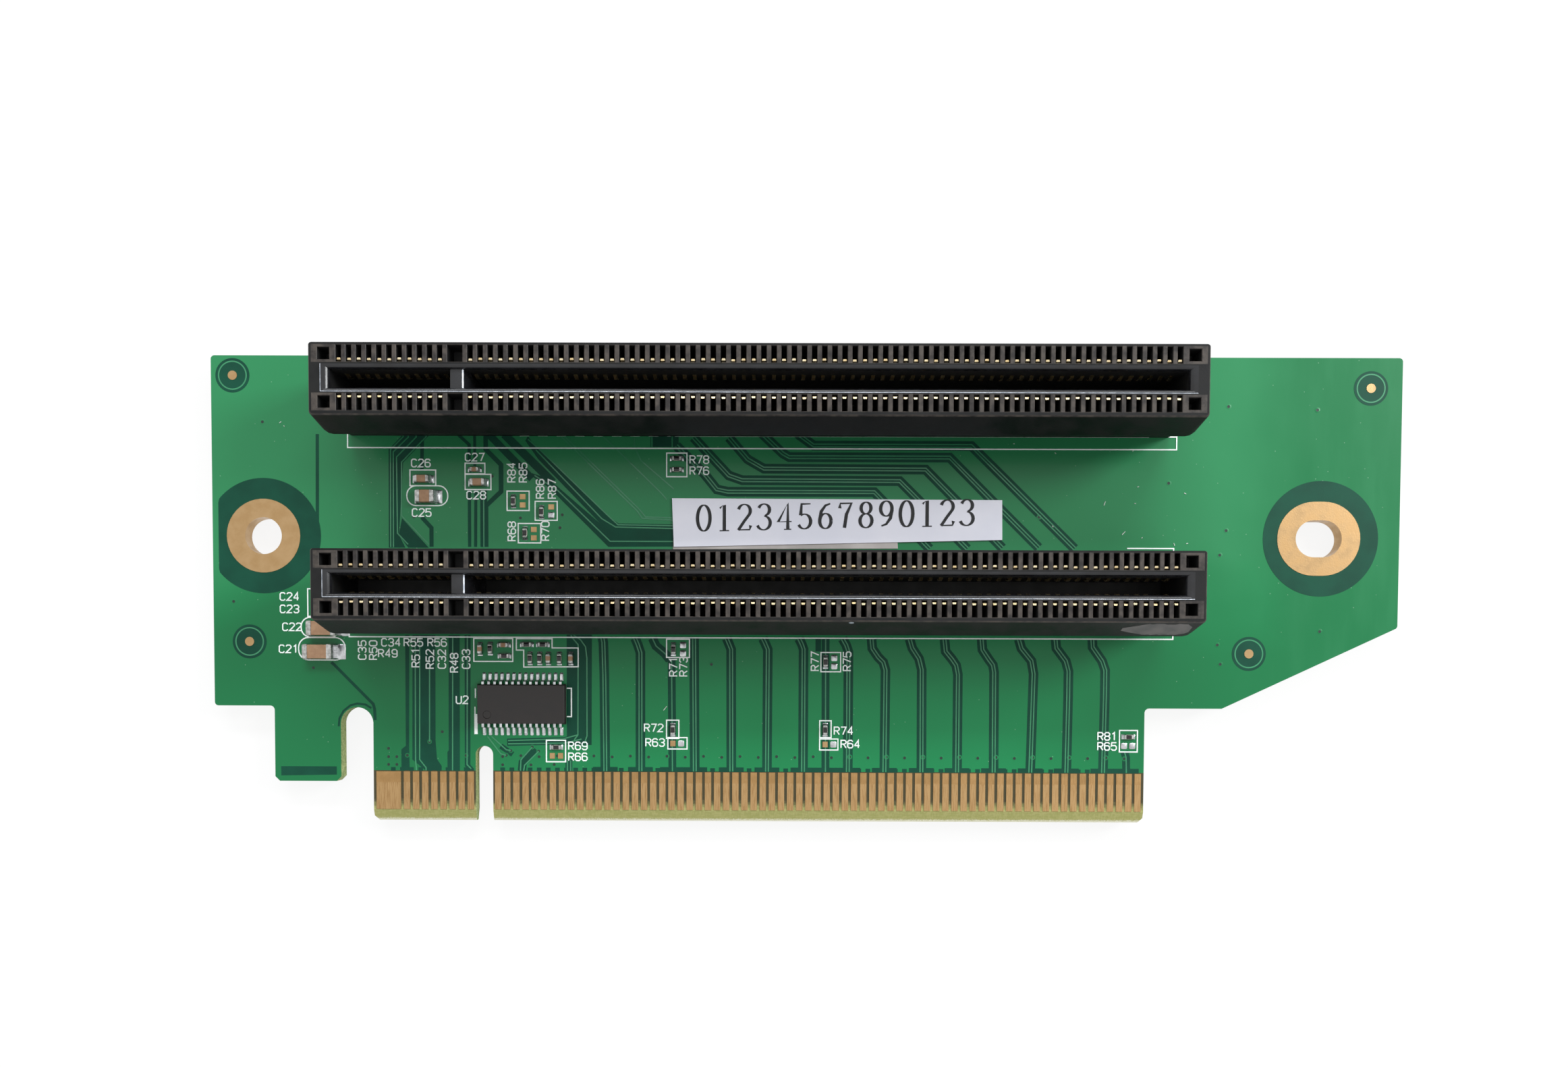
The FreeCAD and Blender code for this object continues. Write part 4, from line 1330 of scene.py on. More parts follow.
DARK_FIELDS: list[Path] = [
    [(-38.7, 5.5), (-38.2, 5.5), (-38.25, 7.95), (-38.15, 20.3), (-38.6, 20.3), (-38.6, 8.2),
     (-39.1, 7.8), (-39.1, 5.5)],
    [(-36.45, 5.5), (-34.7, 5.5), (-34.7, 6.0), (-35.2, 6.75), (-35.35, 8.8), (-35.3, 20.3),
     (-37.8, 20.3), (-37.9, 6.7)],
    [(-34.05, 5.5), (-32.7, 5.5), (-32.65, 20.3), (-33.85, 20.3), (-33.9, 7.7), (-34.05, 7.55)],
    [(-31.75, 5.5), (-31.15, 5.5), (-31.15, 5.7), (-31.55, 6.15), (-31.45, 20.3), (-32.1, 20.3),
     (-32.15, 6.0)],
    [(-20.95, 8.35), (-18.25, 8.35), (-18.2, 20.4), (-20.95, 20.4)],
    [(-40.3, 29.8), (-38.5, 29.8), (-39.2, 31.2), (-38.7, 39.0), (-35.9, 41.9), (-35.9, 42.2),
     (-38.9, 42.2), (-38.9, 41.8), (-40.25, 40.4)],
    [(-38.2, 29.8), (-35.95, 29.8), (-38.85, 33.0), (-39.2, 31.2)],
    [(-25.4, 41.4), (-25.1, 41.9), (-24.5, 41.0), (-16.7, 33.5), (-15.3, 32.5), (-9.2, 32.4),
     (-9.2, 30.0), (-16.4, 29.95), (-22.9, 36.4), (-24.6, 37.5), (-24.7, 37.9), (-23.2, 37.4),
     (-22.2, 36.7), (-17.3, 32.5), (-24.0, 39.4)],
    [(-11.8, 40.75), (-8.75, 40.75), (-8.75, 42.1), (-11.8, 42.1)],
    [(-52.3, 4.9), (-46.2, 5.0), (-46.2, 5.9), (-52.3, 5.9)],
]
VIAS: Path = [
    (-36.0, 8.65), (-34.6, 9.75), (-27.1, 7.7), (-27.6, 7.2), (-24.75, 8.1), (-24.05, 7.65),
    (-40.5, 7.9), (-40.5, 7.0), (-39.6, 7.0), (-40.5, 6.15), (-39.6, 6.15), (-38.45, 7.15),
    (-28.0, 6.15), (-24.9, 6.15), (-22.35, 6.2), (-37.55, 33.15), (-25.95, 33.05), (-29.0, 37.55),
    (-21.4, 33.4), (-21.65, 32.0), (-53.95, 43.35), (-57.3, 23.9), (-48.65, 16.7), (50.75, 45.25),
    (60.35, 44.9), (50.7, 31.9), (50.05, 29.25), (61.05, 21.0), (49.95, 19.5), (50.3, 17.4),
    (7.5, 29.95), (-5.15, 17.2), (30.4, 33.3), (44.4, 37.0), (44.9, 24.0),
]
# Corners of the printed boxes, and for those with round corners their radius as well.
SILK_BOXES: list[Quad] = [
    (-37.95, 36.5, -35.15, 38.2), (-31.95, 37.8, -29.8, 38.95), (-31.95, 36.1, -29.15, 37.75),
    (-27.4, 33.85, -25.0, 35.95), (-24.35, 32.8, -21.95, 34.85), (-26.2, 30.35, -23.75, 32.45),
    (-10.05, 37.55, -7.85, 40.1), (-31.1, 17.45, -26.85, 19.95), (-10.05, 17.95, -7.55, 19.95),
    (-10.05, 9.1, -8.7, 11.1), (-9.9, 7.95, -7.8, 9.2), (-23.2, 6.5, -21.1, 8.85),
    (6.8, 16.45, 8.95, 18.55), (6.7, 9.25, 7.95, 11.1), (6.7, 7.9, 8.7, 9.1),
    (39.45, 7.8, 41.4, 10.15),
]
SILK_LINES: list[Path] = [
    [(-26.45, 19.95), (-22.55, 19.95), (-22.55, 18.95), (-19.7, 18.95), (-19.7, 16.9),
     (-25.65, 16.85), (-25.65, 18.7), (-26.45, 18.7), (-26.45, 19.95)],
    [(-30.95, 14.5), (-30.95, 13.45)],
    [(-31.0, 12.5), (-31.0, 11.55)],
    [(-20.95, 14.55), (-20.45, 14.55), (-20.45, 11.45), (-20.95, 11.45)],
    [(-44.7, 42.2), (-44.7, 40.6), (45.2, 40.6), (45.2, 42.2)],
    [(-9.15, 41.95), (42.2, 41.95)],
    [(42.2, 41.97), (45.2, 41.97)],
    [(-44.7, 21.0), (-44.7, 20.1), (45.1, 20.1), (45.1, 21.0)],
    [(45.05, 29.2), (45.05, 29.95), (40.0, 29.95)],
    [(-48.9, 25.3), (-49.2, 25.3), (-49.2, 22.3), (-48.9, 22.3)],
]
ROUND_BOXES: list[tuple[float, float, float, float, float]] = [
    (-50.25, 17.55, -45.15, 20.0, 1.1), (-49.95, 20.05, -45.7, 22.2, 1.0),
    (-38.3, 34.35, -33.85, 36.5, 1.0),
]
BLANK_FIELD: Path = [(-30.9, 11.7), (-30.9, 9.5)]
DASHED_LINE: Path = [(-26.0, 41.95), (-9.6, 41.95)]
TINNED: list[Plan] = [
    (-22.6, 33.35), (-8.25, 19.3), (-8.25, 18.4), (8.25, 17.95), (8.25, 17.05), (-8.45, 8.55),
    (8.2, 8.5), (39.95, 8.45), (40.85, 8.45),
]
# Place, length and direction of each speck.
DUST: list[Quad] = [
    (41.1, 36.6, 0.2, 0.3), (37.5, 34.8, 0.45, 1.2), (40.8, 34.8, 0.15, 0.0),
    (31.9, 32.3, 0.2, 2.1), (39.6, 31.6, 0.5, 0.8), (41.6, 31.1, 0.15, 0.4), (45.1, 30.4, 0.3, 1.9),
    (46.5, 30.5, 0.2, 0.2), (46.2, 35.9, 0.25, 2.6), (40.5, 40.5, 0.2, 1.0),
    (27.6, 41.2, 0.15, 0.0), (32.1, 40.2, 0.2, 2.4), (-52.0, 43.3, 0.25, 0.7),
    (-51.6, 42.9, 0.15, 2.0), (-10.2, 12.4, 0.6, 0.9),
]
# Word, place and direction in degrees of each reference mark.
DESIGNATORS: list[tuple[str, float, float, int]] = [
    ("C24", -51.2, 24.45, 0), ("C23", -51.2, 23.1, 0), ("C22", -50.95, 21.15, 0),
    ("C21", -51.35, 18.75, 0), ("C35", -43.3, 18.65, 90), ("R50", -42.1, 18.65, 90),
    ("C34", -40.15, 19.5, 0), ("R55", -37.7, 19.5, 0), ("R56", -35.1, 19.5, 0),
    ("R49", -40.5, 18.3, 0), ("R51", -37.45, 17.85, 90), ("R52", -35.9, 17.7, 90),
    ("C32", -34.6, 17.7, 90), ("R48", -33.25, 17.3, 90), ("C33", -31.95, 17.7, 90),
    ("U2", -32.4, 13.25, 0), ("R69", -19.75, 8.25, 0), ("R66", -19.75, 7.05, 0),
    ("R71", -9.3, 16.95, 90), ("R73", -8.2, 16.95, 90), ("R72", -11.45, 10.25, 0),
    ("R63", -11.3, 8.65, 0), ("R77", 6.15, 17.6, 90), ("R75", 9.65, 17.6, 90),
    ("R74", 9.3, 10.0, 0), ("R64", 10.05, 8.55, 0), ("R81", 38.1, 9.5, 0), ("R65", 38.1, 8.4, 0),
    ("C26", -36.75, 38.95, 0), ("C25", -36.7, 33.6, 0), ("C27", -30.9, 39.6, 0),
    ("C28", -30.75, 35.5, 0), ("R84", -26.9, 37.95, 90), ("R85", -25.65, 37.95, 90),
    ("R86", -23.8, 36.2, 90), ("R87", -22.5, 36.2, 90), ("R68", -26.9, 31.6, 90),
    ("R70", -23.25, 31.65, 90), ("R78", -6.5, 39.4, 0), ("R76", -6.5, 38.2, 0),
]
# Strokes of the characters, each 4 wide and 6 high.
STROKES: dict[str, list[Path]] = {
    "0": [[(1, 0), (3, 0), (4, 1), (4, 5), (3, 6), (1, 6), (0, 5), (0, 1), (1, 0)]],
    "1": [[(0.8, 4.8), (2.3, 6), (2.3, 0)]],
    "2": [[(0, 5), (1, 6), (3, 6), (4, 5), (4, 4), (0, 0), (4, 0)]],
    "3": [
        [(0, 5), (1, 6), (3, 6), (4, 5), (4, 4), (3, 3), (4, 2), (4, 1), (3, 0), (1, 0), (0, 1)],
        [(1.5, 3), (3, 3)],
    ],
    "4": [[(3, 0), (3, 6), (0, 1.8)], [(0, 1.8), (4, 1.8)]],
    "5": [
        [(4, 6), (0.3, 6), (0, 3.3), (1, 3.7), (3, 3.7), (4, 2.7), (4, 1), (3, 0), (1, 0), (0, 1)],
    ],
    "6": [
        [(4, 5), (3, 6), (1, 6), (0, 5), (0, 1), (1, 0), (3, 0), (4, 1), (4, 2.5), (3, 3.5)],
        [(3, 3.5), (0, 3.5)],
    ],
    "7": [[(0, 6), (4, 6), (1.5, 0)]],
    "8": [
        [(1, 3.1), (0, 4.1), (0, 5), (1, 6), (3, 6), (4, 5), (4, 4.1), (3, 3.1), (1, 3.1)],
        [(1, 3.1), (0, 2.1), (0, 1), (1, 0), (3, 0), (4, 1), (4, 2.1), (3, 3.1)],
    ],
    "9": [
        [(0, 1), (1, 0), (3, 0), (4, 1), (4, 5), (3, 6), (1, 6), (0, 5), (0, 3.5), (1, 2.5)],
        [(1, 2.5), (4, 2.5)],
    ],
    "C": [[(4, 5), (3, 6), (1, 6), (0, 5), (0, 1), (1, 0), (3, 0), (4, 1)]],
    "R": [[(0, 0), (0, 6), (3, 6), (4, 5), (4, 4), (3, 3)], [(3, 3), (0, 3)], [(2, 3), (4, 0)]],
    "U": [[(0, 6), (0, 1), (1, 0), (3, 0), (4, 1), (4, 6)]],
}
# Radius and level above the board of the rings of a via and of its dark dot.
VIA_MOUND = ((0.32, -0.002), (0.19, 0.021), (0.16, 0.021))
VIA_DOT = ((0.16, 0.021), (0.08, 0.019))
# Width and level above the board of the rings of a cap of solder.
TIN_CAP = ((0.66, 0.01), (0.66, 0.06), (0.4, 0.13))


def beside(path: Path, shift: float) -> Path:
    """Path that runs beside another.

    Args:
        path: the other path.
        shift: distance between them; the new path lies to the left where it is positive.

    Returns:
        The new path.
    """
    runs = [heading(path, place) for place in range(len(path))]
    return [(x - run.y * shift, y + run.x * shift) for (x, y), run in zip(path, runs)]


def written(word: str, at: Plan, turn: int, height: float) -> list[Path]:
    """Strokes of a word about its middle.

    Args:
        word: characters of the stroke font.
        at: middle of the word.
        turn: its direction, in degrees.
        height: height of its characters.

    Returns:
        The paths of the strokes.
    """
    unit = height / 6
    advance, spare = 5.4, 1.4
    start = -(len(word) * advance - spare) / 2
    cosine, sine = math.cos(math.radians(turn)), math.sin(math.radians(turn))
    strokes = []
    for place, letter in enumerate(word):
        for stroke in STROKES[letter]:
            local = [((start + place * advance + x) * unit, (y - 3) * unit) for x, y in stroke]
            strokes.append([
                (at[0] + x * cosine - y * sine, at[1] + x * sine + y * cosine) for x, y in local
            ])
    return strokes


class Layer(Enum):
    """Levels of the print above the board, in millimetres."""

    SUNK = -0.004
    CLEARANCE = 0.006
    LINE = 0.024
    SILK = 0.04


@dataclass
class BoardPrint:
    """Copper pattern under the mask, via holes and silkscreen; sizes in millimetres."""

    pair_band: float = 1.05
    pair_gap: float = 0.3
    single_band: float = 0.85
    line: float = 0.13
    silk: float = 0.125
    letter: float = 0.82
    hole_clearance: float = 12.5
    hole_sides: int = 72
    hole_overlap: float = 0.15
    slot_stretch: float = 0.5
    slot_shift: float = 0.2
    fiducial_clearance: float = 3.7
    fiducial_ring: float = 3.0
    fiducial_line: float = 0.14
    fiducial_gap: float = 1.5
    disc_sides: int = 40
    edge_margin: float = 0.65
    contact_top: float = 5.45
    notch: Plan = (0.25, 0.4)
    pad_field: Plan = (1.35, 0.5)
    via_sides: int = 14
    via_row: Plan = (7.05, 0.05)
    blank_width: float = 0.36
    fibre: float = 0.07
    dash: Plan = (1.04, 0.96)
    tin_corner: float = 0.12

    def on_card(self, path: Iterable[Plan]) -> Path:
        """Carry print from its own origin onto the card."""
        return [(ARRAY_X + x, EDGE_Y + y) for x, y in path]

    def levels(self, layer: Layer) -> Plan:
        """Foot and face of the print in a layer."""
        return BOARD_TOP + Layer.SUNK.value, BOARD_TOP + layer.value

    def strip(
        self,
        mesher: Mesher,
        path: Iterable[Plan],
        width: float,
        layer: Layer,
        closed: bool = False,
    ) -> None:
        """Add one printed line; a path that comes back to its start is closed.

        Args:
            mesher: mesh to add to.
            path: corners of its middle line, from the origin of the print.
            width: its width.
            layer: its level.
            closed: join the end to the start.
        """
        path = list(path)
        if path[0] == path[-1]:
            path, closed = path[:-1], True
        low, high = self.levels(layer)
        mesher.ribbon(self.on_card(path), width, low, high, closed)

    def patch(self, mesher: Mesher, outline: Sequence[Plan]) -> None:
        """Add one dark field inside an outline on the card."""
        mesher.slab(outline, *self.levels(Layer.CLEARANCE))

    def make_bands(self) -> None:
        """Make the dark clearances round the holes and dots and along the lines."""
        mesher = Mesher()
        for path in PAIRS_BELOW + PAIRS_BETWEEN:
            self.strip(mesher, path, self.pair_band, Layer.CLEARANCE)
        for path in SINGLES_BELOW:
            self.strip(mesher, path, self.single_band, Layer.CLEARANCE)
        for width, path in BANDS:
            self.strip(mesher, path, width, Layer.CLEARANCE)
        for path in DARK_FIELDS:
            self.patch(mesher, self.on_card(path))
        gaps = [(PINS.x(pin) + PINS.x(pin + 1)) / 2 for pin in range(2, PINS.pins)]
        fields = [(x, self.notch) for x in gaps if abs(x - PINS.key_x()) >= PINS.pitch]
        fields += [(path[-1][0], self.pad_field) for path in PAIRS_BELOW + SINGLES_BELOW]
        for x, (reach, height) in fields:
            low = (x - reach, self.contact_top)
            high = (x + reach, self.contact_top + height)
            self.patch(mesher, self.on_card(box_path(low, high)))
        self.add_hole_clearances(mesher)
        for at in self.fiducials():
            self.patch(mesher, circle(at, self.fiducial_clearance / 2, self.disc_sides))
        mesher.build("copper_clearances", [CLEARANCE])

    def add_hole_clearances(self, mesher: Mesher) -> None:
        """Add dark discs round the two plated holes, cut off near the ends of the board.

        Args:
            mesher: mesh to add to.
        """
        low, high = corners("hole_platings")
        y = (low[1] + high[1]) / 2
        radius = (high[1] - low[1]) / 2
        ends = (BOARD_LOW[0] + self.edge_margin, BOARD_HIGH[0] - self.edge_margin)
        foot, top = self.levels(Layer.CLEARANCE)
        slot = (high[0] - radius - self.slot_stretch, self.slot_stretch, self.slot_shift)
        for x, stretch, shift in ((low[0] + radius, 0.0, 0.0), slot):
            disc = circle((x, y), self.hole_clearance / 2, self.hole_sides)
            outer = [(min(max(px + shift, ends[0]), ends[1]), py) for px, py in disc]
            disc = circle((x, y), radius - self.hole_overlap, self.hole_sides)
            inner = [(px + math.copysign(stretch, px - x), py) for px, py in disc]
            face = top + mesher.lift()
            levels = ((outer, foot), (outer, face), (inner, face), (inner, foot))
            mesher.loft([[(px, py, level) for px, py in ring] for ring, level in levels])

    def fiducials(self) -> Path:
        """Middles of the four bare dots.

        Returns:
            Their places on the card.
        """
        found: list[tuple[float, float, int]] = []
        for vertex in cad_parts["fiducial_dots"].data.vertices:
            x, y = vertex.co.x / MM, vertex.co.y / MM
            for i, (fx, fy, n) in enumerate(found):
                if math.hypot(x - fx, y - fy) < self.fiducial_gap:
                    found[i] = ((fx * n + x) / (n + 1), (fy * n + y) / (n + 1), n + 1)
                    break
            else:
                found.append((x, y, 1))
        return [(x, y) for x, y, _ in found]

    def make_lines(self) -> None:
        """Make the signal lines in the clearances, and the rings round the bare dots."""
        mesher = Mesher()
        for path in PAIRS_BELOW + PAIRS_BETWEEN:
            for side in (-1, 1):
                self.strip(mesher, beside(path, side * self.pair_gap / 2), self.line, Layer.LINE)
        for path in SINGLES_BELOW + LINES_BY_CHIP + LINES_AT_LEFT + LINES_BETWEEN:
            self.strip(mesher, path, self.line, Layer.LINE)
        low, high = self.levels(Layer.LINE)
        for at in self.fiducials():
            ring = circle(at, self.fiducial_ring / 2, self.disc_sides)
            mesher.ribbon(ring, self.fiducial_line, low, high, True)
        mesher.build("copper_lines", [TRACE])

    def make_vias(self) -> None:
        """Make the via holes: a dark dot on a low mound of mask."""
        mesher = Mesher()
        places = self.on_card(VIAS)
        for pin in range(10, PINS.pins, 2):
            height = self.via_row[0] + self.via_row[1] * (pin % 4)
            places.append((ARRAY_X + PINS.x(pin) + PINS.pitch / 2, EDGE_Y + height))
        for at in places:
            for tone, steps in enumerate((VIA_MOUND, VIA_DOT)):
                rings = [
                    ring_of(at, radius, BOARD_TOP + rise, self.via_sides) for radius, rise in steps
                ]
                mesher.loft(rings, tone, end=tone == 1)
        mesher.build("via_holes", [BOARD_MASK, VIA_DARK], crease=60)

    def make_silk(self) -> None:
        """Make the white outlines, dashes, reference marks and the blank field."""
        mesher = Mesher()
        for x0, y0, x1, y1 in SILK_BOXES:
            path = box_path((x0, y0), (x1, y1))
            self.strip(mesher, path, self.silk, Layer.SILK, True)
        for path in SILK_LINES:
            self.strip(mesher, path, self.silk, Layer.SILK)
        for x0, y0, x1, y1, radius in ROUND_BOXES:
            ring = oblong(((x0 + x1) / 2, (y0 + y1) / 2), (x1 - x0, y1 - y0), radius, 0.0, 6)
            self.strip(mesher, [(x, y) for x, y, _ in ring], self.silk, Layer.SILK, True)
        self.strip(mesher, BLANK_FIELD, self.blank_width, Layer.SILK)
        for path in dotted(DASHED_LINE, *self.dash):
            self.strip(mesher, path, self.silk, Layer.SILK)
        for word, x, y, turn in DESIGNATORS:
            for stroke in written(word, (x, y), turn, self.letter):
                self.strip(mesher, stroke, self.silk, Layer.SILK)
        mesher.build("silkscreen", [SILK])

    def make_tinning(self) -> None:
        """Make the thin caps of solder on some of the bare pads."""
        mesher = Mesher()
        for at in self.on_card(TINNED):
            rings = [
                oblong(at, (width, width), self.tin_corner, BOARD_TOP + rise)
                for width, rise in TIN_CAP
            ]
            mesher.loft(rings, end=True)
        mesher.build("pad_tinning", [SOLDER], crease=50)

    def make_dust(self) -> None:
        """Make the dust specks and short fibres that lie on the board."""
        mesher = Mesher()
        for x, y, length, turn in DUST:
            dx, dy = length / 2 * math.cos(turn), length / 2 * math.sin(turn)
            path = [(x - dx, y - dy), (x + dx, y + dy)]
            self.strip(mesher, path, self.fibre, Layer.SILK)
        mesher.build("dust_specks", [DUST_GREY])

    def dress(self) -> None:
        """Make all layers of the print."""
        self.make_bands()
        self.make_lines()
        self.make_vias()
        self.make_silk()
        self.make_tinning()
        self.make_dust()


# ---- label ----

def arc(centre: Plan, size: Plan, start: float, end: float, steps: int = 12) -> Path:
    """Part of an ellipse.

    Args:
        centre: its middle.
        size: its reach along X and along Y.
        start: where it starts, in degrees.
        end: where it ends.
        steps: number of straight pieces.

    Returns:
        Its points.
    """
    turns = [math.radians(start + (end - start) * i / steps) for i in range(steps + 1)]
    return [(centre[0] + size[0] * math.cos(t), centre[1] + size[1] * math.sin(t)) for t in turns]


# Pen paths of the digits, each 1 wide and 2 high.
DIGITS: dict[str, list[Path]] = {
    "0": [arc((0.5, 1.0), (0.42, 0.93), 0, 360, 28)],
    "1": [[(0.22, 1.68), (0.52, 1.9), (0.52, 0.08)], [(0.2, 0.06), (0.84, 0.06)]],
    "2": [
        arc((0.5, 1.45), (0.4, 0.47), 165, -35, 12) + [(0.5, 0.72), (0.1, 0.08)],
        [(0.1, 0.1), (0.86, 0.1), (0.92, 0.4)],
    ],
    "3": [
        arc((0.46, 1.5), (0.37, 0.42), 160, -80, 12),
        arc((0.44, 0.56), (0.44, 0.5), 85, -160, 14),
    ],
    "4": [
        [(0.7, 0.06), (0.7, 1.92), (0.06, 0.62), (0.95, 0.62)],
        [(0.45, 0.06), (0.93, 0.06)],
    ],
    "5": [
        [(0.86, 1.86), (0.26, 1.86), (0.2, 1.05)],
        arc((0.45, 0.6), (0.42, 0.53), 125, -155, 14),
    ],
    "6": [
        [(0.82, 1.84), (0.5, 1.72), (0.22, 1.3), (0.12, 0.7)],
        arc((0.5, 0.6), (0.38, 0.54), 0, 360, 22),
    ],
    "7": [[(0.1, 1.5), (0.14, 1.84), (0.88, 1.84), (0.55, 1.05), (0.42, 0.08)]],
    "8": [
        arc((0.5, 1.47), (0.33, 0.42), 0, 360, 20),
        arc((0.5, 0.56), (0.4, 0.5), 0, 360, 22),
    ],
    "9": [
        arc((0.5, 1.4), (0.38, 0.54), 0, 360, 22),
        [(0.88, 1.3), (0.78, 0.7), (0.5, 0.28), (0.18, 0.16)],
    ],
}


@dataclass
class Label:
    """Characters on the paper label, drawn with a broad pen; sizes in millimetres."""

    digits: str = "01234567890123"
    pitch: float = 2.2
    height: float = 3.0
    width: float = 1.62
    thick: float = 0.37
    thin: float = 0.12
    swell: float = 1.5
    left: Plan = (-6.0, 33.05)
    right: Plan = (22.7, 33.75)
    ink: Plan = (-0.002, 0.008)

    def pen(self, mesher: Mesher, path: Path, low: float, high: float) -> None:
        """Add one stroke, thick where it runs up or down and thin where it runs across.

        Args:
            mesher: mesh to add to.
            path: its middle line.
            low: level of its foot.
            high: level of its face.
        """
        closed = path[0] == path[-1]
        edges: list[tuple[Plan, Plan]] = []
        for place, (x, y) in enumerate(path):
            run = heading(path, place, closed)
            half = (self.thin + (self.thick - self.thin) * abs(run.y) ** self.swell) / 2
            left = (x - run.y * half, y + run.x * half)
            edges.append((left, (x + run.y * half, y - run.x * half)))
        for (left, right), (next_left, next_right) in zip(edges, edges[1:]):
            mesher.slab([right, next_right, next_left, left], low, high)

    def make_digits(self) -> None:
        """Make the row of digits."""
        mesher = Mesher()
        level = corners("label_top")[1][2]
        slope = (self.right[1] - self.left[1]) / (self.right[0] - self.left[0])
        for place, digit in enumerate(self.digits):
            along = place * self.pitch
            x0 = ARRAY_X + self.left[0] + along - self.width / 2
            y0 = EDGE_Y + self.left[1] + slope * along - self.height / 2
            for path in DIGITS[digit]:
                stroke = [
                    (x0 + x * self.width, y0 + y * self.height / 2 + slope * x * self.width)
                    for x, y in path
                ]
                self.pen(mesher, stroke, level + self.ink[0], level + self.ink[1])
        mesher.build("label_digits", [INK])


# ---- chip and chip-sized parts ----

# Solder on the pad round a foot: half width, spread beyond the foot, height.
FOOT_SOLDER = ((0.19, 0.2, 0.012), (0.17, 0.17, 0.04), (0.14, 0.08, 0.1), (0.13, 0.02, 0.12))


@dataclass
class DriverChip:
    """Moulded chip with bent leads along both long sides; sizes in millimetres."""

    leads: int = 14
    pitch: float = 0.65
    lead_width: float = 0.26
    lead_thickness: float = 0.15
    lead_lift: float = 0.02
    foot: float = 0.55
    heel: float = 0.14
    shoulder: float = 0.6
    shoulder_run: float = 0.28
    upper_radius: float = 0.14
    upper_bend: Point = (0.4, 0.8, 1.25)
    lower_radius: float = 0.12
    lower_bend: Point = (0.35, 0.8, 1.3)
    overlap: float = 0.1
    draft: float = 0.12
    edge: float = 0.06
    seam: float = 0.02
    corner: float = 0.08
    dimple: float = 0.45
    dimple_inset: Plan = (1.15, 1.05)
    dimple_depth: float = 0.08
    dimple_sides: int = 28
    solder_shift: float = 0.04
    solder_corner: float = 0.1

    def make_body(self) -> None:
        """Make the body with drafted sides, softened edges and the dimple at the first lead."""
        low, high = corners("chip_body")
        at = middle("chip_body")
        size = (high[0] - low[0], high[1] - low[1])
        half = (low[2] + high[2]) / 2
        profile = [
            (self.draft + self.edge, low[2]), (self.draft, low[2] + self.edge),
            (self.seam, half - 0.03), (0.0, half - 0.01),
            (0.0, half + 0.01), (self.seam, half + 0.03),
            (self.draft, high[2] - self.edge), (self.draft + 0.02, high[2] - 0.02),
            (self.draft + self.edge, high[2]),
        ]
        mesher = Mesher()
        rings = [
            oblong(at, (size[0] - 2 * inset, size[1] - 2 * inset), self.corner, level, 2)
            for inset, level in profile
        ]
        mesher.loft(rings, start=True)
        spot = (low[0] + self.dimple_inset[0], low[1] + self.dimple_inset[1])
        depth = self.dimple_depth
        bowl = [
            ring_of(spot, self.dimple - inset, high[2] - drop, self.dimple_sides)
            for inset, drop in ((0.0, 0.0), (0.02, 0.03), (0.05, depth - 0.01), (0.12, depth))
        ]
        outer, rim = rings[-1], bowl[0]
        mesher.face([*outer, outer[0], rim[0], *reversed(rim[1:]), rim[0]])
        mesher.loft(bowl, 1, end=True)
        finishes = [CHIP_MOULD, CHIP_DIMPLE]
        mesher.build("chip_moulded_body", finishes, "chip_body", crease=30)

    def lead_line(self, inner: float, reach: float) -> Path:
        """Middle line of a lead, from the body to the tip of its foot.

        Args:
            inner: distance of its start from the middle of the chip.
            reach: distance of its tip.

        Returns:
            Distance from the middle of the chip and level of each point.
        """
        base = BOARD_TOP + self.lead_thickness / 2 + self.lead_lift
        top, knee, turn = base + self.shoulder, inner + self.shoulder_run, reach - self.foot
        line = [(inner, top), (knee, top)]
        radius = self.upper_radius
        for angle in self.upper_bend:
            line.append((knee + radius * math.sin(angle), top - radius * (1 - math.cos(angle))))
        radius = self.lower_radius
        for angle in self.lower_bend:
            line.append((turn - radius * math.cos(angle), base + radius * (1 - math.sin(angle))))
        return [*line, (turn + self.heel, base), (reach, base)]

    def make_leads(self) -> None:
        """Make the bent leads with solder at their feet."""
        mesher = Mesher()
        low, high = corners("chip_leads")
        body_low, body_high = corners("chip_body")
        at = middle("chip_leads")
        reach = (high[1] - low[1]) / 2
        line = self.lead_line((body_high[1] - body_low[1]) / 2 - self.overlap, reach)
        half = self.lead_width / 2
        for lead in range(self.leads):
            x = at[0] + (lead - (self.leads - 1) / 2) * self.pitch
            for side in Side:
                rings = []
                for place, (out, level) in enumerate(line):
                    run = heading(line, place)
                    across = Vector((-run.y, run.x)) * self.lead_thickness / 2
                    rings.append([
                        (
                            x + dx * side.value,
                            at[1] + side.value * (out + turned * across.x),
                            level + turned * across.y,
                        )
                        for dx, turned in box_path((-half, -1), (half, 1))
                    ])
                mesher.loft(rings, start=True, end=True)
                self.add_solder(mesher, x, at[1] + side.value * (reach - self.foot / 2), side)
        finishes = [LEAD_TIN, SOLDER]
        mesher.build("chip_bent_leads", finishes, "chip_leads")

    def add_solder(self, mesher: Mesher, x: float, y: float, side: Side) -> None:
        """Add a solder pillow on the pad round one foot.

        Args:
            mesher: mesh to add to.
            x: middle of the foot.
            y: middle of the foot.
            side: row of the foot.
        """
        at = (x, y + side.value * self.solder_shift)
        rings = []
        for half, beyond, rise in FOOT_SOLDER:
            size = (2 * half, self.foot + 2 * beyond)
            rings.append(oblong(at, size, min(half, self.solder_corner), BOARD_TOP + rise, 2))
        mesher.loft(rings, 1, end=True)

    def dress(self) -> None:
        """Make the chip's pieces."""
        self.make_body()
        self.make_leads()


class Skin(IntEnum):
    """Finishes of a soldered part, in the order of its materials."""

    FACE = 0
    TERMINAL = 1
    SOLDER = 2
    BASE = 3


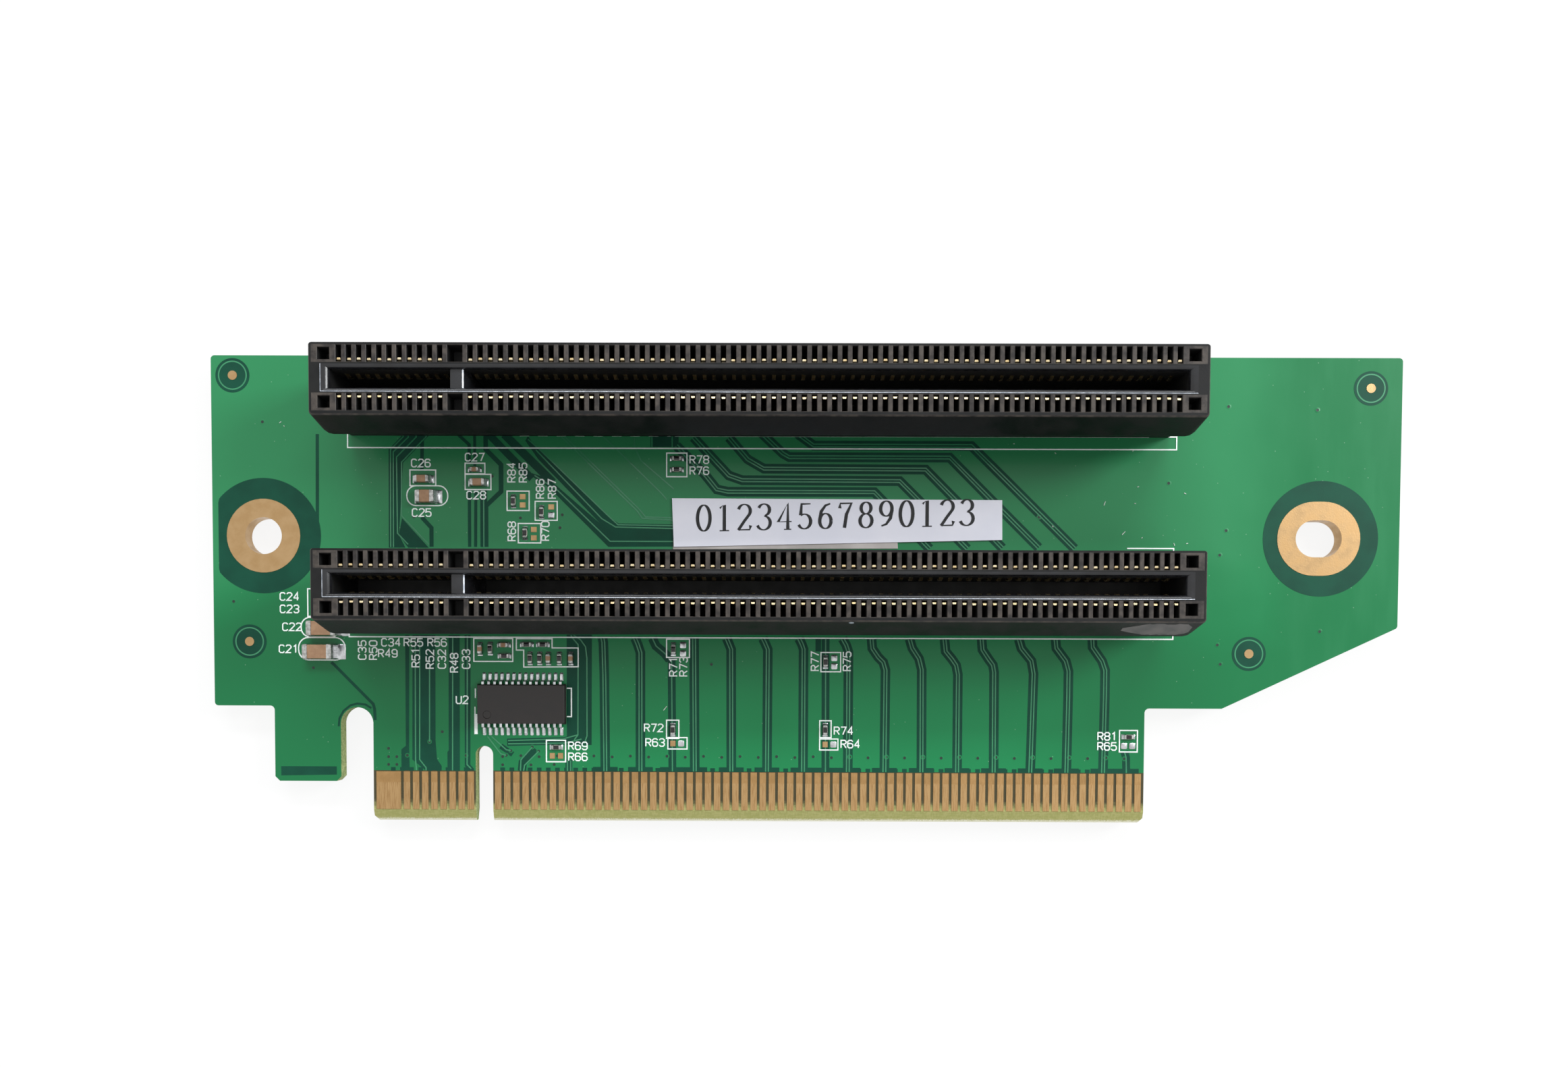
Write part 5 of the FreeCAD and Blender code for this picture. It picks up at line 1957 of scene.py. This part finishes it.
def section(along: float, half: float, bottom: float, top: float, soft: float) -> list[Point]:
    """Ring across a part, with softened corners, seen from its far end.

    Args:
        along: its place along the part.
        half: half of its width.
        bottom: its lowest level.
        top: its highest level.
        soft: size of the softened corners.

    Returns:
        Its points.
    """
    return [
        (along, half, bottom + soft), (along, half, top - soft),
        (along, half - soft, top), (along, soft - half, top),
        (along, -half, top - soft), (along, -half, bottom + soft),
        (along, soft - half, bottom), (along, half - soft, bottom),
    ]


@dataclass
class ChipPart:
    """Soldered two-ended part: capacitor or resistor; sizes in millimetres.

    Attributes:
        node: the node it stands for.
        terminal: length of each metal end.
        proud: how far the metal ends stand out from the body.
        spread: solder beyond each end.
        stand: height of its underside above the board.
        body_soft: softened corners of the body.
        overlap: how far the body goes into each metal end.
        glaze_inset: distance of the resistor's glaze from the sides of the body.
        climb: least and greatest share of the height that the solder climbs.
        flank: how far the solder stands out on each side.
    """

    node: str
    terminal: float
    proud: float
    spread: Plan
    stand: float = 0.03
    body_soft: float = 0.05
    overlap: float = 0.05
    glaze_inset: float = 0.03
    climb: Plan = (0.5, 0.75)
    flank: float = 0.06
    at: Plan = field(init=False)
    along_x: bool = field(init=False)
    reach: float = field(init=False)
    half: float = field(init=False)
    inner: float = field(init=False)
    bottom: float = field(init=False)
    top: float = field(init=False)
    is_resistor: bool = field(init=False)
    chance: random.Random = field(init=False)

    def __post_init__(self) -> None:
        """Read the part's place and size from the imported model."""
        low, high = corners(self.node)
        self.at = middle(self.node)
        size = (high[0] - low[0], high[1] - low[1])
        self.along_x = size[0] > size[1]
        self.reach, self.half = max(size) / 2, min(size) / 2
        self.inner = self.reach - self.terminal
        self.bottom, self.top = BOARD_TOP + self.stand, high[2]
        self.is_resistor = self.node.startswith("resistor")
        self.chance = random.Random(self.node)

    def placed(self, ring: Iterable[Point]) -> list[Point]:
        """Carry points from the part's own axes onto the card.

        Args:
            ring: points along, across and up.

        Returns:
            The points on the card.
        """
        if self.along_x:
            return [(self.at[0] + u, self.at[1] + v, w) for u, v, w in ring]
        return [(self.at[0] - v, self.at[1] + u, w) for u, v, w in ring]

    def add_body(self, mesher: Mesher) -> None:
        """Add the body, and the glaze on top of a resistor.

        Args:
            mesher: mesh to add to.
        """
        half, top = self.half - self.proud, self.top - self.proud
        shape = (half, self.bottom + self.proud, top, self.body_soft)
        end = self.inner + self.overlap
        body = [self.placed(section(along, *shape)) for along in (-end, end)]
        mesher.loft(body, Skin.BASE if self.is_resistor else Skin.FACE)
        if not self.is_resistor:
            return
        rings = []
        for inset, rise in ((0.0, -0.005), (0.01, 0.015), (0.03, 0.025)):
            u, v = self.inner - inset, self.half - self.glaze_inset - inset
            plate = ((u, -v), (u, v), (-u, v), (-u, -v))
            rings.append(self.placed((x, y, top + rise) for x, y in plate))
        mesher.loft(rings, Skin.FACE, end=True)

    def add_terminal(self, mesher: Mesher, end: int) -> None:
        """Add one metal end.

        Args:
            mesher: mesh to add to.
            end: minus one or one, for the near or the far end.
        """
        soft = min(0.12, (self.top - BOARD_TOP) * 0.22)
        inner, reach, half = self.inner, self.reach, self.half
        profile = [
            (inner - 0.02, half - self.proud - 0.01, 0.02), (inner, half, 0.05),
            (reach - 0.07, half, soft * 0.8), (reach - 0.02, half - 0.02, soft),
            (reach, half - 0.07, soft),
        ]
        rings = []
        for along, wide, softness in profile:
            ring = section(along, wide, self.bottom, self.top - max(0.0, half - wide), softness)
            rings.append(self.placed((end * u, end * v, w) for u, v, w in ring))
        mesher.loft(rings, Skin.TERMINAL, end=True)

    def add_solder(self, mesher: Mesher, end: int) -> None:
        """Add hollow-faced solder from the pad up one metal end.

        Args:
            mesher: mesh to add to.
            end: minus one or one, for the near or the far end.
        """
        spread = self.spread[0] if end < 0 else self.spread[1]
        climb = (self.top - BOARD_TOP) * self.chance.uniform(*self.climb)
        wide = self.half + self.flank
        rings = []
        for share in (0.0, 0.25, 0.5, 0.75, 1.0):
            out = self.reach - 0.02 + (spread + 0.02) * share
            level = BOARD_TOP + self.stand + climb * (1 - share) ** 2.2
            shoulder = level * 0.4 + BOARD_TOP * 0.6
            foot = wide - 0.05 * share
            brow = foot * 0.82
            half_ring = ((foot, BOARD_TOP), (foot, shoulder), (brow, level))
            ring = half_ring + tuple((-across, up) for across, up in reversed(half_ring))
            rings.append(self.placed((end * out, end * across, up) for across, up in ring))
        mesher.loft(rings, Skin.SOLDER, end=True)

    def make(self) -> None:
        """Make the body, metal ends and solder as one piece."""
        mesher = Mesher()
        self.add_body(mesher)
        for end in (-1, 1):
            self.add_terminal(mesher, end)
            self.add_solder(mesher, end)
        face = RESISTOR_GLASS if self.is_resistor else CERAMIC
        finishes = [face, TERMINAL_TIN, SOLDER, RESISTOR_BASE]
        mesher.build(self.node + "_soldered", finishes, self.node, crease=40)


# ---- studio ----

WHITE: Colour = (1.0, 1.0, 1.0)
# Name, place and size in metres, power in watts, and colour of each lamp.
LAMPS = (
    ("far_lamp", (0.03, 0.62, 0.52), (0.7, 0.16), 4.6, (0.94, 0.97, 1.0)),
    ("right_lamp", (0.46, 0.2, 0.3), (0.16, 0.3), 2.7, (0.97, 0.99, 1.0)),
)


def seen(graph: Graph) -> Socket:
    """Share of rays that come from the camera or by way of metal and glass.

    Args:
        graph: node tree of the material or of the world.

    Returns:
        One for those rays and zero for others.
    """
    path = graph.node("ShaderNodeLightPath", {}, {}, "Is Camera Ray").port.node
    kinds = ("Camera", "Glossy", "Transmission")
    camera, glossy, through = (Socket(graph, path.outputs[f"Is {kind} Ray"]) for kind in kinds)
    return graph.math_max(graph.math_max(camera, glossy), through)


@dataclass
class Studio:
    """Camera, lamps, floor and white surroundings.

    Attributes:
        lens: focal length, in millimetres.
        sensor: width of the sensor, in millimetres.
        eye: place of the camera, in millimetres.
        turns: its turns about X, Y and Z, in degrees.
        shift: shift of its frame.
        floor_reach: distance from the middle of the floor to its sides, in metres.
        floor_glow: strength of the floor's own light.
        floor_share: share of that light in what is seen of the floor.
        soft: strength of the surroundings on matt surfaces.
    """

    lens: float = 26.40
    sensor: float = 36.0
    eye: Point = (-4.096, -8.582, 128.30)
    turns: Point = (1.9036, -0.1929, -0.2003)
    shift: Plan = (0.01348, 0.1111)
    floor_reach: float = 3.0
    floor_glow: float = 1.02
    floor_share: float = 0.86
    soft: float = 0.72

    def make_camera(self) -> None:
        """Make the camera, nearly straight above the card."""
        data = bpy.data.cameras.new("view")
        data.lens = self.lens
        data.sensor_width = self.sensor
        data.shift_x, data.shift_y = self.shift
        data.clip_start = 0.01
        camera = bpy.data.objects.new("view", data)
        pitch, roll, yaw = (
            Matrix.Rotation(math.radians(turn), 4, axis) for turn, axis in zip(self.turns, "XYZ")
        )
        into = yaw @ roll @ pitch
        place = Matrix.Translation([part * MM for part in self.eye])
        camera.matrix_world = place @ into.transposed()
        bpy.context.scene.collection.objects.link(camera)
        bpy.context.scene.camera = camera

    def make_lamp(self, name: str, place: Point, size: Plan, power: float, tint: Colour) -> None:
        """Make an area lamp aimed at the middle of the card.

        Args:
            name: its name.
            place: its place, in metres.
            size: its width and length, in metres.
            power: its power, in watts.
            tint: colour of its light.
        """
        data = bpy.data.lights.new(name, "AREA")
        data.shape = "RECTANGLE"
        data.size, data.size_y = size
        data.energy = power
        data.color = tint
        lamp = bpy.data.objects.new(name, data)
        lamp.location = place
        lamp.rotation_euler = Vector(place).to_track_quat("Z", "Y").to_euler()
        bpy.context.scene.collection.objects.link(lamp)

    def make_floor(self) -> None:
        """Make the pale floor under the card."""
        low, high = (-self.floor_reach,) * 2, (self.floor_reach,) * 2
        mesh = bpy.data.meshes.new("studio_floor")
        mesh.from_pydata([(x, y, 0.0) for x, y in box_path(low, high)], [], [(0, 1, 2, 3)])
        material = bpy.data.materials.new("studio_floor")
        material.use_nodes = True
        graph = Graph(material.node_tree)
        matte = graph.node("ShaderNodeBsdfDiffuse", {}, {"Color": (0.8, 0.8, 0.8)})
        light = {"Color": WHITE, "Strength": self.floor_glow}
        glow = graph.node("ShaderNodeEmission", {}, light)
        share = seen(graph) * self.floor_share
        blend = graph.node("ShaderNodeMixShader", {}, {0: share, 1: matte, 2: glow})
        graph.node("ShaderNodeOutputMaterial", {}, {0: blend})
        mesh.materials.append(material)
        floor = bpy.data.objects.new("studio_floor", mesh)
        bpy.context.scene.collection.objects.link(floor)

    def make_world(self) -> None:
        """Make white surroundings for the camera and for metal, softer for matt surfaces."""
        world = bpy.data.worlds.new("studio_world")
        world.use_nodes = True
        bpy.context.scene.world = world
        graph = Graph(world.node_tree)
        soft, full = (
            graph.node("ShaderNodeBackground", {}, {"Color": WHITE, "Strength": strength})
            for strength in (self.soft, 1.0)
        )
        sky = graph.node("ShaderNodeMixShader", {}, {0: seen(graph), 1: soft, 2: full})
        graph.node("ShaderNodeOutputWorld", {}, {0: sky})

    def dress(self) -> None:
        """Set up the studio."""
        bpy.context.scene.view_settings.view_transform = "Standard"
        self.make_camera()
        for lamp in LAMPS:
            self.make_lamp(*lamp)
        self.make_floor()
        self.make_world()


# ---- the whole card ----

# Length of the metal ends, how far they stand out, and the solder beyond each end.
SMALL_CAPACITOR = (0.25, 0.01, (0.24, 0.24))
RESISTOR = (0.2, 0.01, (0.24, 0.24))
CAPACITORS = {
    "capacitor_bulk_lower": (0.55, 0.05, (0.3, 1.15)),
    "capacitor_bulk_upper": (0.55, 0.05, (0.3, 1.1)),
    "capacitor_medium": (0.45, 0.04, (0.3, 0.7)),
    "capacitor_end_a": (0.32, 0.02, (0.4, 0.3)),
    "capacitor_end_b": (0.32, 0.02, (0.4, 0.3)),
    "capacitor_small_a": (0.32, 0.02, (0.3, 0.45)),
    "capacitor_small_b": (0.32, 0.02, (0.3, 0.3)),
}
CARRIED: dict[str, Finish] = {
    "circuit_board": BOARD_MASK,
    "edge_contacts_front": CONTACT_GILT,
    "edge_contacts_back": CONTACT_GILT,
    "hole_platings": GILT,
    "fiducial_dots": GILT,
    "bare_pads": GILT,
    "label_top": PAPER,
    "label_under": UNDER_PAPER,
}


def main() -> None:
    """Dress the card and set up the studio."""
    logging.basicConfig(level=logging.INFO, format="%(name)s: %(message)s")
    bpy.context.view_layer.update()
    for node, finish in CARRIED.items():
        finish_node(node, finish)
    for name in ("upper_slot", "lower_slot"):
        SlotConnector(name).dress()
    BoardPrint().dress()
    Label().make_digits()
    DriverChip().dress()
    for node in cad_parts:
        if node.startswith("capacitor"):
            ChipPart(node, *CAPACITORS.get(node, SMALL_CAPACITOR)).make()
        elif node.startswith("resistor"):
            ChipPart(node, *RESISTOR).make()
    Studio().dress()


if __name__ == "__main__":
    main()
